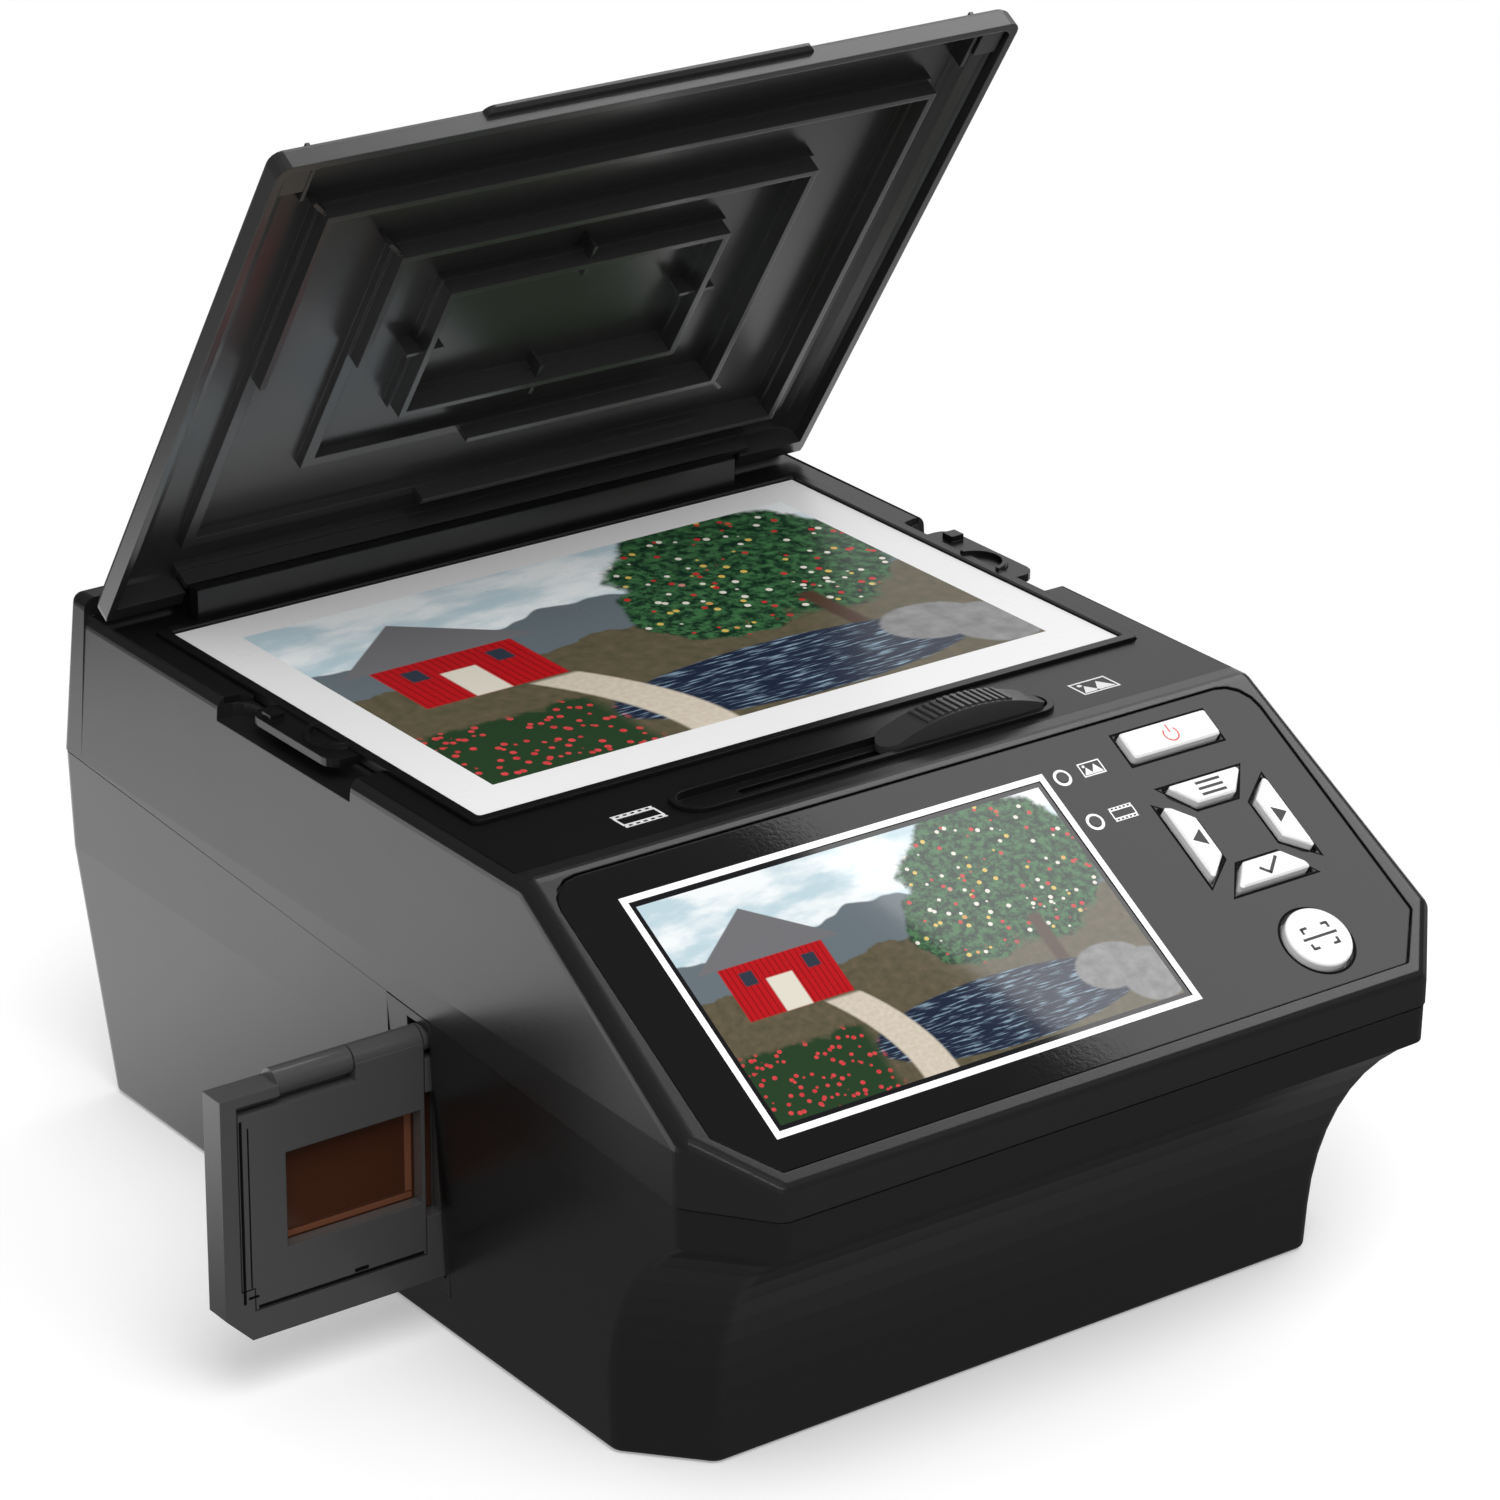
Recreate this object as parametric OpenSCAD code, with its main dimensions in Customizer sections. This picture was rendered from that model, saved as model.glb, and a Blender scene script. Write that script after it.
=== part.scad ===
// Photo and film scanner with a hinged lid, a tilted control panel and a side film tray.
// Millimetres. +Z is up, +X is right and -Y faces the user. The origin is the centre of
// the footprint, on the table. The rest pose has the lid half open and the film tray out.

/* [Casing] */
// Width across the seam between the two shells
body_w = 206; // [200:1:230]
// How far each side wall leans in from the seam up to the deck
lean_top = 2.4; // [0.4:0.1:4]
// How far each side wall leans in from the seam down to the table
lean_base = 5.3; // [1:0.1:7]
// Depth of the footprint beyond the depth of the print
base_margin = 99.8; // [96:0.2:120]
// How far the nose reaches over the foot of the front wall
nose_reach = 29.4; // [15:0.2:35]
// How far the back wall reaches over the foot of the back wall, at the seam
back_reach = 9.2; // [4:0.2:14]
// Height of the deck rim above the table
deck_h = 123.6; // [118:0.2:140]
// Height of the ledge behind the lid
ledge_h = 128; // [126:0.2:146]
// Height of the sharp front edge of the tilted face
nose_h = 79.9; // [76:0.1:90]
// Tilt of the control face
slope_deg = 30; // [26:0.5:34]
// Height of the seam at the front
seam_h = 72.2; // [66:0.1:75]
// Rise of the seam towards the back, per millimetre
seam_rise = 0.06; // [0:0.005:0.08]
// Shadow gap of the seam
seam_gap = 0.3; // [0.1:0.05:0.6]
// Width of the chamfer on each front corner
chamfer_x = 15; // [6:0.1:20]
// Depth of the chamfer on each front corner
chamfer_y = 16.6; // [8:0.1:24]
// Height of the upright band under the seam, above the hollow of the front
band_h = 8.5; // [4:0.5:16]
// Height of the upright foot below the hollow of the front
foot_band = 10; // [4:0.5:20]
// Thickness of the casing walls
wall = 2.5; // [1.8:0.1:3.2]
// Fillet along the top edges
edge_r = 3.6; // [1:0.1:4]
// Radius of the upright front corners
front_r = 4; // [4:0.1:6]
// Radius of the upright back corners
back_r = 2.7; // [2:0.1:6]
// Radius along the foot of the lower shell
foot_r = 1; // [0.6:0.1:2]

/* [Deck] */
// Width of the rim beside the deck plate
rim_w = 1.9; // [1.4:0.1:3]
// Depth of the rim over the deck plate
rim_step = 0.4; // [0.2:0.1:0.8]
// Thickness of the deck plate
plate_t = 1.6; // [1.2:0.1:2.2]
// Thickness of the deck wall that carries the plate and the glass
deck_wall = 4.5; // [4:0.1:6]
// Width of the photo print
print_w = 178; // [150:1:178]
// Depth of the photo print
print_d = 127; // [100:1:127]
// Distance from the origin back to the middle of the print
print_y = 29.5; // [25:0.5:31]
// Thickness of the print
print_t = 0.3; // [0.2:0.05:0.5]
// Ledge of the photo tray under the edge of the print
print_ledge = 3; // [2:0.5:6]
// Width of the photo tray border around the print
tray_border = 3; // [2:0.5:3]
// Thickness of the glass
glass_t = 2.5; // [1.5:0.1:2.5]
// Length of the finger notch in each side rim
notch_len = 55.4; // [48:0.2:58]
// Distance from the origin back to the middle of the finger notches
notch_y = 26.8; // [22:0.2:30]
// Depth of the finger notches below the rim
notch_depth = 5.5; // [5:0.1:6]
// Height of the upstand wall behind the photo bed, above the rim
upstand_h = 7.4; // [5:0.1:7.4]
// Thickness of the upstand wall
upstand_t = 3.6; // [2:0.1:4]

/* [Mode slider] */
// Length of the bezel around the slider
bezel_len = 103.5; // [100:0.5:112]
// Width of the bezel around the slider
bezel_w = 12; // [11:0.1:12.6]
// Wall of the bezel
bezel_wall = 1.6; // [1:0.1:2]
// Height of the bezel over the deck plate
bezel_rise = 1; // [0.5:0.1:1.4]
// Distance from the front edge of the footprint back to the middle of the slider
slider_in = 60; // [59:0.1:61]
// Length of the knob
knob_len = 46; // [36:0.5:46]
// Rise of the arched top of the knob
knob_arch = 6; // [4:0.1:6]
// Travel of the knob from photo to film
knob_travel = 53; // [50:0.5:53]
// Number of grip ridges on the knob
ridge_count = 13; // [7:1:17]

/* [Lid] */
// Length of the lid beyond the depth of the print
lid_over = 28.6; // [24:0.2:28.6]
// Depth of the hollow under the lid
lid_hollow = 6.6; // [6.6:0.1:8]
// Thickness of the lid skin
lid_skin = 1.6; // [1.2:0.1:2.2]
// Thickness of the lid rim
lid_rim = 2; // [1.6:0.1:2.6]
// Width of the low shoulder between the sides and the top of the lid
lid_shoulder = 7.4; // [5:0.1:9]
// Height of the low shoulder
lid_shoulder_h = 3.8; // [2:0.1:4]
// Radius of the upright corners of the lid
lid_corner = 3.2; // [2:0.1:6]
// Angle of the lid at rest, from closed
lid_open = 57.6; // [30:0.1:80]
// Distance from the back edge of the footprint forward to the hinge axis
hinge_in = 6.5; // [6.2:0.1:7]
// Height of the hinge axis over the deck rim
hinge_up = 5.1; // [4.9:0.1:5.4]
// Distance from the hinge axis back to the hinge edge of the closed lid
hinge_back = 3.4; // [2.8:0.1:3.6]
// Gap between the deck rim and the rim of the closed lid
lid_gap = 1.1; // [0.8:0.1:1.4]
// Thickness of the stiffening ribs
rib_t = 1.6; // [1.2:0.1:2]
// Thickness of the foot of the ribs
rib_foot_t = 3; // [2:0.1:3.2]
// Height of the foot of the ribs
rib_foot_h = 2.3; // [1.5:0.1:3]
// Length of the finger lip on the free edge
lip_len = 88; // [60:1:120]
// Reach of the finger lip past the free edge
lip_reach = 2; // [1:0.1:2]
// Radius of the hinge pins
pin_r = 1.3; // [1:0.05:1.5]
// Radius of the ears that hold the hinge pins
ear_r = 2.7; // [2.4:0.1:2.8]

/* [Control panel] */
// Width of the panel
panel_w = 191.7; // [186:0.1:193]
// Length of the panel up the slope
panel_len = 81; // [78:0.5:82]
// Thickness of the panel
panel_t = 1.6; // [1.2:0.1:2]
// Depth of the panel face below the casing face
panel_sink = 0.4; // [0.2:0.1:0.8]
// Gap around the panel
panel_gap = 0.4; // [0.2:0.1:0.8]
// Distance from the sharp front edge up the slope to the foot of the screen frame
screen_up = 12; // [11.6:0.1:13]
// Distance of the screen centre to the left of the middle
screen_x = 25.1; // [22:0.1:28]
// Width of the frame line around the screen
screen_w = 114; // [100:0.5:116]
// Height of the frame line around the screen
screen_h = 65.2; // [56:0.2:66]
// Width of the frame line
screen_line = 1.7; // [1:0.1:3]
// Gap around the buttons
button_gap = 0.7; // [0.4:0.1:1]
// Height of the button caps over the panel
button_rise = 1.8; // [1:0.1:3]
// Travel of the buttons
button_travel = 0.8; // [0.3:0.1:0.9]
// Distance of the key ring centre to the right of the middle
ring_x = 68.4; // [67:0.1:69]
// Distance of the key ring centre up the slope from the foot of the screen frame
ring_up = 37; // [36:0.1:38]
// Half width of the key ring
ring_half = 15; // [13:0.1:15.5]
// Depth of the four keys in the ring
key_depth = 6.2; // [5:0.1:7]
// Half length of the outer side of the keys
key_outer = 10.9; // [9:0.1:11]
// Half length of the inner side of the keys
key_inner = 5.4; // [3:0.1:6]
// Width of the power button
power_w = 25; // [16:0.5:26]
// Height of the power button
power_h = 7.3; // [5:0.1:7.6]
// Radius of the scan button
scan_r = 8; // [6:0.1:8.2]
// Radius of the two indicator light guides
lamp_r = 1.5; // [1:0.1:2]

/* [Film tray] */
// Distance from the origin forward to the front face of the tray
tray_front = 33; // [32:0.1:34]
// Thickness of the tray with its cover
tray_t = 7; // [6.6:0.1:8]
// Thickness of the hinged cover
cover_t = 3.4; // [2.6:0.1:3.6]
// Height of the tray over the table
tray_z = 14.8; // [14:0.1:18]
// Height of the channel along the foot of the tray
channel_h = 6.8; // [5:0.1:8]
// Height of the cover
cover_h = 47.3; // [44:0.1:48]
// Length of the cover
cover_len = 47; // [46:0.1:50]
// Thickness of the grip post at the outer end
post_t = 4; // [3:0.1:5]
// Length of the tray that stays in the guide at rest
tongue_len = 12; // [10:0.5:16]
// Width of the film window
film_w = 34.5; // [24:0.1:36]
// Height of the film window
film_h = 22.9; // [18:0.1:24]
// Radius of the tray hinge barrel
barrel_r = 3.2; // [2.6:0.1:3.4]
// Radius of the tray hinge pin
barrel_pin_r = 1.2; // [0.8:0.05:1.4]
// How far the tray slides in from rest
tray_travel = 52.5; // [40:0.5:52.5]

/* [Hidden] */

$fn = 48;
hull_fn = 28;
fit_gap = 0.3;       // clearance between pieces that seat or slide on flat faces
run_gap = 0.05;      // radial clearance of a pin in its bore
cut = 1;             // how far a cutting solid reaches past a face

// Casing, worked out
base_d = print_d + base_margin;
half_w = body_w / 2;
deck_half = half_w - lean_top;
front_y = -base_d / 2 - nose_reach;
back_y = base_d / 2 + back_reach;
ledge_back = back_y - 2;
seam_deg = atan(seam_rise);
function seam_z(y) = seam_h + seam_rise * (y - front_y);
sole_z = 0.5;        // underside of the casing, over the feet
shell_top = deck_h + 20;
slope_d = cos(slope_deg) * nose_h - sin(slope_deg) * front_y;
function slope_z(y, off = 0) = (slope_d + off + sin(slope_deg) * y) / cos(slope_deg);
knee_y = (cos(slope_deg) * deck_h - slope_d) / sin(slope_deg);
hinge_y = base_d / 2 - hinge_in;
slider_y = base_d / 2 - slider_in;
ledge_front = hinge_y + hinge_back + 3.2;
plate_top = deck_h - rim_step;
pocket_z = plate_top - plate_t;
deck_in = pocket_z - deck_wall;
deck_front = knee_y + 4.4;

// Cove of the front wall: an arc from the upright foot to the upright band
cove_foot = sole_z + foot_band;
cove_top = seam_h - band_h;
cove_rise = cove_top - cove_foot;
cove_r = (nose_reach * nose_reach + cove_rise * cove_rise) / (2 * nose_reach);
function cove_inset(z) = z <= cove_foot ? nose_reach
    : z >= cove_top ? 0
    : nose_reach - cove_r + sqrt(cove_r * cove_r - pow(z - cove_foot, 2));

// Photo bed, worked out
bed_w = print_w + 2 * tray_border;
bed_d = print_d + 2 * tray_border;
glass_z = pocket_z - glass_t;
print_z = plate_top + 0.1;

// Control face, in its own frame: x right, y up the slope, z out of the panel face
panel_foot = -7.5;
lens_w = screen_w - 2 * screen_line;
lens_h = screen_h - 2 * screen_line;
face_in = -panel_t - wall;                       // inner side of the sloping wall
flange_top = face_in - fit_gap;
flange_t = 1.2;
stem_end = flange_top - flange_t - 1;
switch_top = stem_end - button_travel - 0.1;
switch_h = 4.9;
board_top = switch_top - switch_h;
board_t = 1.6;
power_pos = [68, 64.9];
scan_pos = [68.2, 4.7];
lamp_pos = [[36.1, 62.7], [36.4, 49.6]];

// Lid, worked out in the frame of the closed lid: y from the hinge axis, z from the axis
hinge_z = deck_h + hinge_up;
lid_low = deck_h + lid_gap - hinge_z;
lid_floor = lid_low + lid_hollow;
lid_high = lid_floor + lid_skin;
lid_len = print_d + lid_over;
lid_free = hinge_back - lid_len;
lid_half = deck_half - 0.3;
hinge_soft = 1.8;      // chamfer under the hinge edge, clear of the deck as the lid swings
knuckle_in = lid_half - 20.5;   // where the solid ends of the lid begin, beside the ears
ear_x = [knuckle_in - 4.4, knuckle_in - 0.4];
pin_end = knuckle_in + 8.2;
upstand_x = [-80, 74];
upstand_y = hinge_y - 10.4;
// Rib rectangles: half width, nearest and farthest distance from the hinge edge
rib_mid = 1.5;       // middle of the rectangles, right of the middle of the lid
rib_rings = [[lid_half - 18, 19.2, lid_len - 21.2], [lid_half - 43.8, 40, lid_len - 41],
    [lid_half - 62.3, 56.3, lid_len - 57.9]];
rib_h = lid_hollow - 0.4;
split_v = 78.9;      // the side ribs on the left are low up to here
split_x = [-18, -12.3];   // the near ribs are low up to here
near_rib_v = 7.7;

// Film tray, worked out: the tray slides along X
tray_back = -tray_front + tray_t;
cover_back = -tray_front + cover_t;
leaf_front = cover_back + 0.3;
cover_end = -half_w - 0.4;
cover_start = cover_end - cover_len;
post_end = cover_start - 0.3 - post_t;
leaf_end = cover_end + tongue_len;
channel_top = tray_z + channel_h;
cover_z = channel_top + 0.3;
cover_high = cover_z + cover_h;
leaf_high = cover_high + 0.1;
barrel_y = -tray_front + barrel_r + 0.3;
barrel_z = cover_high + barrel_r + 0.9;
land_z = barrel_z - barrel_r - 0.2;   // underside of the land beside the barrel
barrel_left = cover_start + 10.1;
barrel_mid = cover_start + 29.5;
window_x = cover_end - 0.9 - film_w / 2;
window_z = tray_z + 31.3;
tray_chamfer = 6.5;
guide_gap = fit_gap;
guide_t = 2;
guide_start = -half_w + 8;
guide_end = leaf_end + tray_travel + 1;
guide_high = barrel_z + barrel_r + guide_gap;

// Optics: the film path leaves the inserted tray along +Y, turns to +X at the fixed
// mirror, and turns down to the camera at the mirror on the carriage
lens_axis_x = window_x + tray_travel;
plate_z = sole_z;
floor_z = plate_z + 2.5;
camera_top = 24;
mirror_s = 26;
mirror_t = 2;
rod_r = 2.5;
rod_z = 64.4;
tube_r = 4.4;
rod_front_y = -44;
rod_back_y = print_y + 31.5;
carriage_z = rod_z - tube_r;
carriage_t = 3;
slider_x = knob_travel / 2;                      // the knob rests at the photo end
boss_r = 4;
boss_x = half_w - lean_base - 6.7;
boss_pos = [[boss_x, 27.4 - base_d / 2], [boss_x, base_d / 2 - 15.4]];
screw_r = 1.5;

// ---- helpers ----

function unit(v) = v / norm(v);

// Points of a corner b, between a and c, rounded to radius r in n steps
function corner(a, b, c, r, n) =
    let (u = unit(a - b), w = unit(c - b),
        half = acos(u * w) / 2,
        o = b + unit(u + w) * r / sin(half),
        t = b + u * r / tan(half) - o,
        start = atan2(t[1], t[0]),
        turn = cross(b - a, c - b) > 0 ? 1 : -1)
    [for (i = [0 : n]) let (g = start + turn * (180 - 2 * half) * i / n)
        o + r * [cos(g), sin(g)]];

// A closed path with each corner rounded to its own radius
function rounded(path, radii, n = 4) =
    let (k = len(path))
    [for (i = [0 : k - 1])
        each corner(path[(i + k - 1) % k], path[i], path[(i + 1) % k], radii[i], n)];

function box_path(x0, y0, x1, y1) = [[x0, y0], [x1, y0], [x1, y1], [x0, y1]];

module round_box(x0, y0, x1, y1, r, n = 6)
    polygon(rounded(box_path(x0, y0, x1, y1), [r, r, r, r], n));

module centred_box(w, d, r, n = 6) round_box(-w / 2, -d / 2, w / 2, d / 2, r, n);

// Plan of the casing: two round back corners and two chamfered front corners, pulled in by e
function plan(hw, yb, yf, cx, cy, e) =
    let (l = norm([cx, cy]),
        kx = cx - e * (1 - (l - cx) / cy),
        ky = cy - e * (1 - (l - cy) / cx),
        w = hw - e, b = yb - e, f = yf + e)
    [[w, b], [-w, b], [-w, f + ky], [kx - w, f], [w - kx, f], [w, f + ky]];
function plan_radii(e) =
    let (rb = max(back_r - e, 0.6), rf = max(front_r - e, 0.6)) [rb, rb, rf, rf, rf, rf];

// Outline of the lower casing at height z, pulled in by e
function shell_plan(z, e) =
    let (up = min(z / seam_h, 1))
    rounded(plan(half_w - lean_base * (1 - up), base_d / 2 + back_reach * up,
        front_y + cove_inset(z), chamfer_x, chamfer_y, e), plan_radii(e));
function ring(z, e) = [for (p = shell_plan(z, e)) [p[0], p[1], z]];

// Skin over a stack of rings that have the same number of points
module loft(rings) {
    m = len(rings[0]);
    k = len(rings);
    sides = [for (j = [0 : k - 2]) for (i = [0 : m - 1])
        let (a = j * m + i, b = j * m + (i + 1) % m)
        each [[a, a + m, b + m], [a, b + m, b]]];
    bottom = [for (i = [0 : m - 1]) i];
    top = [for (i = [m - 1 : -1 : 0]) (k - 1) * m + i];
    polyhedron([for (r = rings) each r], concat([bottom], sides, [top]));
}

cove_steps = 9;
cove_sweep = asin(cove_rise / cove_r);
cove_heights = [for (i = [0 : cove_steps]) cove_foot + cove_r * sin(cove_sweep * i / cove_steps)];

module above_seam(gap)
    translate([0, front_y, seam_h + gap])
        rotate([seam_deg, 0, 0])
            translate([-body_w, -base_d / 4, 0]) cube([2 * body_w, 2 * base_d, body_w]);

module on_slope()
    translate([0, front_y + screen_up * cos(slope_deg), nose_h + screen_up * sin(slope_deg)])
        rotate([slope_deg, 0, 0]) translate([0, 0, -panel_sink]) children();

// The lid is drawn closed about its hinge axis and turned to where it rests
module on_lid()
    translate([0, hinge_y, hinge_z]) rotate([-lid_open, 0, 0]) children();

module along_x(x0, x1, y, z, r) translate([x0, y, z]) rotate([0, 90, 0]) cylinder(h = x1 - x0, r = r);

// The same on the right side for s = 1 and on the left side for s = -1
module span_x(s, x0, x1, y, z, r) mirror([s > 0 ? 0 : 1, 0, 0]) along_x(x0, x1, y, z, r);

module block(a, b) translate(a) cube(b - a);

// ---- casing ----

// Upright post with a rounded top edge, the corner of the upper casing
module post(x, y, top, r, f, z0) {
    arc = [for (i = [0 : 5]) let (g = 18 * i) [r - f + f * cos(g), top - f + f * sin(g)]];
    translate([x, y, 0])
        rotate_extrude($fn = hull_fn) polygon(concat([[0, z0], [r, z0]], arc, [[0, top]]));
}

// Centre of the round corner b between a and c
function corner_centre(a, b, c, r) =
    let (u = unit(a - b), w = unit(c - b), half = acos(u * w) / 2) b + unit(u + w) * r / sin(half);

// Solid form of the upper casing, up to the given height over its back part
module upper_form(back_top) {
    low = seam_h - 8;
    p = plan(half_w, back_y, front_y, chamfer_x, chamfer_y, 0);
    radii = plan_radii(0);
    // a post whose round top edge touches the sloping face has this top height
    lift = (front_r - edge_r) * sin(slope_deg) + edge_r;
    hull() {
        for (i = [2 : 5]) {
            c = corner_centre(p[i - 1], p[i], p[(i + 1) % 6], front_r);
            post(c[0], c[1], slope_z(c[1], -lift) + edge_r, front_r, edge_r, low);
        }
        for (s = [-1, 1]) {
            knee = knee_y + edge_r * tan(slope_deg / 2);
            post(s * (deck_half - edge_r), knee, deck_h, edge_r, edge_r, deck_h - 2 * edge_r);
            post(s * (deck_half - back_r), ledge_back - back_r, back_top, back_r,
                min(edge_r, back_r), deck_h - 12);
            post(s * (deck_half - edge_r), ledge_front - 30, back_top, edge_r, edge_r, deck_h - 12);
            translate([s * (half_w - back_r), back_y - back_r, low])
                cylinder(h = seam_z(back_y) - low, r = back_r, $fn = hull_fn);
        }
    }
}

module upper_outer() {
    upper_form(deck_h);
    intersection() {
        upper_form(ledge_h);
        block([-body_w, ledge_front, seam_h], [body_w, back_y + cut, shell_top]);
    }
}

// Room inside the upper casing
module upper_room() {
    in_d = face_in - panel_sink;
    knee_in = (cos(slope_deg) * deck_in - slope_d - in_d) / sin(slope_deg);
    profile = [[front_y, seam_h - 12], [front_y, slope_z(front_y, in_d)], [knee_in, deck_in],
        [ledge_back - wall, deck_in], [back_y - wall, seam_z(back_y)], [back_y - wall, seam_h - 12]];
    intersection() {
        rotate([90, 0, 90]) translate([0, 0, -half_w]) linear_extrude(body_w) polygon(profile);
        translate([0, 0, seam_h - 20]) linear_extrude(shell_top)
            polygon(rounded(plan(half_w - lean_top, back_y, front_y, chamfer_x, chamfer_y, wall),
                plan_radii(wall)));
    }
}

panel_path = [[-panel_w / 2, panel_foot + 12.4], [-panel_w / 2 + 10.5, panel_foot],
    [panel_w / 2 - 10.5, panel_foot], [panel_w / 2, panel_foot + 12.4],
    [panel_w / 2, panel_foot + panel_len], [-panel_w / 2, panel_foot + panel_len]];
panel_radii = [1.2, 1.2, 1.2, 1.2, 8, 8];

// The same outline a little larger, for the pocket in the casing
pocket_scale = [(panel_w + 2 * panel_gap) / panel_w, (panel_len + 2 * panel_gap) / panel_len];
panel_mid = panel_foot + panel_len / 2;
pocket_path = [for (p = panel_path)
    [p[0] * pocket_scale[0], panel_mid + (p[1] - panel_mid) * pocket_scale[1]]];

// Outline of one key of the ring, before it is turned to its place, grown by g
module key_outline(g)
    polygon(rounded([[-key_outer - 1.4 * g, ring_half + g], [-key_inner - 0.6 * g, ring_half - key_depth - g],
        [key_inner + 0.6 * g, ring_half - key_depth - g], [key_outer + 1.4 * g, ring_half + g]],
        [0.7, 0.7, 0.7, 0.7]));

module key_place(turn) translate([ring_x, ring_up]) rotate(turn) children();

module power_outline(g)
    translate(power_pos) centred_box(power_w + 2 * g, power_h + 2 * g, 0.8 + g);

module button_holes(g) {
    for (turn = [0 : 90 : 270]) key_place(turn) key_outline(g);
    power_outline(g);
    translate(scan_pos) circle(r = scan_r + g);
    for (p = lamp_pos) translate(p) circle(r = lamp_r + 0.1);
}

module screen_hole(g)
    translate([-screen_x, screen_h / 2]) square([lens_w + 2 * g, lens_h + 2 * g], center = true);

// Finger notch through the rim, with round ends
module notches(x0)
    for (s = [0, 1]) mirror([s, 0, 0])
        translate([0, 0, deck_h - notch_depth]) linear_extrude(notch_depth + cut)
            polygon(rounded(box_path(x0, notch_y - notch_len / 2, half_w + cut, notch_y + notch_len / 2),
                [3, 0.3, 0.3, 6]));

module boss_holes(z0, z1, r)
    for (s = [-1, 1]) for (p = boss_pos) translate([s * p[0], p[1], z0]) cylinder(h = z1 - z0, r = r);

boss_split = 60;

module upper_shell() color([0.13, 0.13, 0.135])
    difference() {
        union() {
            difference() {
                intersection() {
                    upper_outer();
                    above_seam(seam_gap);
                }
                upper_room();
            }
            // screw bosses, cut to the outer form
            intersection() {
                boss_holes(boss_split + fit_gap, deck_in + 1, boss_r);
                union() {
                    upper_form(deck_h - 2);
                    boss_holes(boss_split, seam_h, boss_r);
                }
            }
            // posts that carry the button board
            on_slope() for (p = board_posts) translate([p[0], p[1], board_top])
                cylinder(h = -board_top - panel_t - 0.5, r = 2.2);
        }
        // pocket for the deck plate
        translate([0, 0, pocket_z]) linear_extrude(shell_top)
            round_box(-deck_half + rim_w, deck_front, deck_half - rim_w, ledge_front, 1.2);
        // seat of the glass and the window below it
        translate([0, print_y, glass_z]) linear_extrude(shell_top)
            centred_box(bed_w + 2 * fit_gap, bed_d + 2 * fit_gap, 2);
        translate([0, print_y, 0]) linear_extrude(shell_top) centred_box(bed_w - 8, bed_d - 8, 2);
        notches(deck_half - 7.6);
        // slot for the stem of the knob
        translate([0, -slider_y, deck_in - cut]) linear_extrude(20)
            centred_box(knob_travel + stem_w + 1.4, stem_t + 1.2, 1.5);
        on_slope() {
            translate([0, 0, -panel_t]) linear_extrude(cut + 5)
                polygon(rounded(pocket_path, panel_radii));
            translate([0, 0, face_in - cut]) linear_extrude(panel_t + wall + 2 * cut) {
                button_holes(button_gap);
                screen_hole(fit_gap);
            }
        }
        boss_holes(boss_split - cut, boss_split + 14, screw_r + run_gap);
    }

module lower_shell() color([0.12, 0.12, 0.125])
    difference() {
        union() {
            difference() {
                loft(concat(
                    [for (i = [0 : 3]) ring(sole_z + foot_r * (1 - cos(30 * i)), foot_r * (1 - sin(30 * i)))],
                    [for (z = cove_heights) ring(z, 0)],
                    [ring(cove_top + 32, 0)]));
                loft(concat([ring(sole_z - cut, wall + 0.5)],
                    [for (z = cove_heights) ring(z, wall)],
                    [ring(cove_top + 34, wall)]));
            }
            intersection() {
                union() {
                    boss_holes(floor_z, boss_split, boss_r);
                    // webs that tie the bosses to the side walls
                    for (s = [0, 1]) mirror([s, 0, 0]) for (p = boss_pos)
                        block([p[0], p[1] - 1, floor_z], [half_w, p[1] + 1, boss_split - 4]);
                }
                loft([ring(sole_z, wall - 1), ring(cove_foot, wall - 1), ring(cove_top, wall - 1)]);
            }
        }
        above_seam(0);
        boss_holes(floor_z - cut, boss_split + cut, screw_r + run_gap);
        // slot for the film tray and its bezel
        block([-half_w - cut, slot_y[0], slot_z[0]], [guide_start, slot_y[1], slot_z[1]]);
        // sockets in the back wall
        port_cut(usb_x, usb_size + [0.6, 0, 0.6], usb_z);
        port_cut(card_x, card_size + [0.6, 0, 0.6], usb_z);
    }

module base_plate() color([0.1, 0.1, 0.105])
    difference() {
        translate([0, 0, plate_z]) linear_extrude(floor_z - plate_z)
            polygon(shell_plan(sole_z + foot_r, wall + 0.5 + fit_gap));
        for (s = [-1, 1]) for (p = boss_pos) translate([s * p[0], p[1], 0]) {
            cylinder(h = floor_z + cut, r = screw_r + 0.2);
            translate([0, 0, plate_z - cut]) cylinder(h = cut + 1.5, r = head_r + 0.2);
        }
        for (s = [-1, 1]) for (p = foot_pos) translate([s * p[0], p[1], plate_z - cut])
            cylinder(h = cut + foot_recess, r = foot_pad_r + 0.2);
    }

foot_pos = [[half_w - 27, 25.4 - base_d / 2], [half_w - 25, base_d / 2 - 25.4]];
foot_pad_r = 7;
foot_recess = 0.8;
module rubber_feet() color([0.06, 0.06, 0.06])
    for (s = [-1, 1]) for (p = foot_pos) translate([s * p[0], p[1], 0])
        rotate_extrude() polygon([[0, 0], [foot_pad_r - 0.5, 0], [foot_pad_r, plate_z],
            [foot_pad_r, plate_z + foot_recess], [0, plate_z + foot_recess]]);

head_r = 2.8;
module case_screws() color([0.55, 0.55, 0.57])
    for (s = [-1, 1]) for (p = boss_pos) translate([s * p[0], p[1], 0]) {
        translate([0, 0, plate_z + 0.2]) cylinder(h = 1.3, r = head_r);
        translate([0, 0, plate_z + 1.4]) cylinder(h = boss_split + 10 - plate_z, r = screw_r);
    }

// ---- deck ----

module bed_hole(z) translate([0, print_y, z]) linear_extrude(20)
    centred_box(bed_w + 2 * fit_gap, bed_d + 2 * fit_gap, 2);

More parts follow.
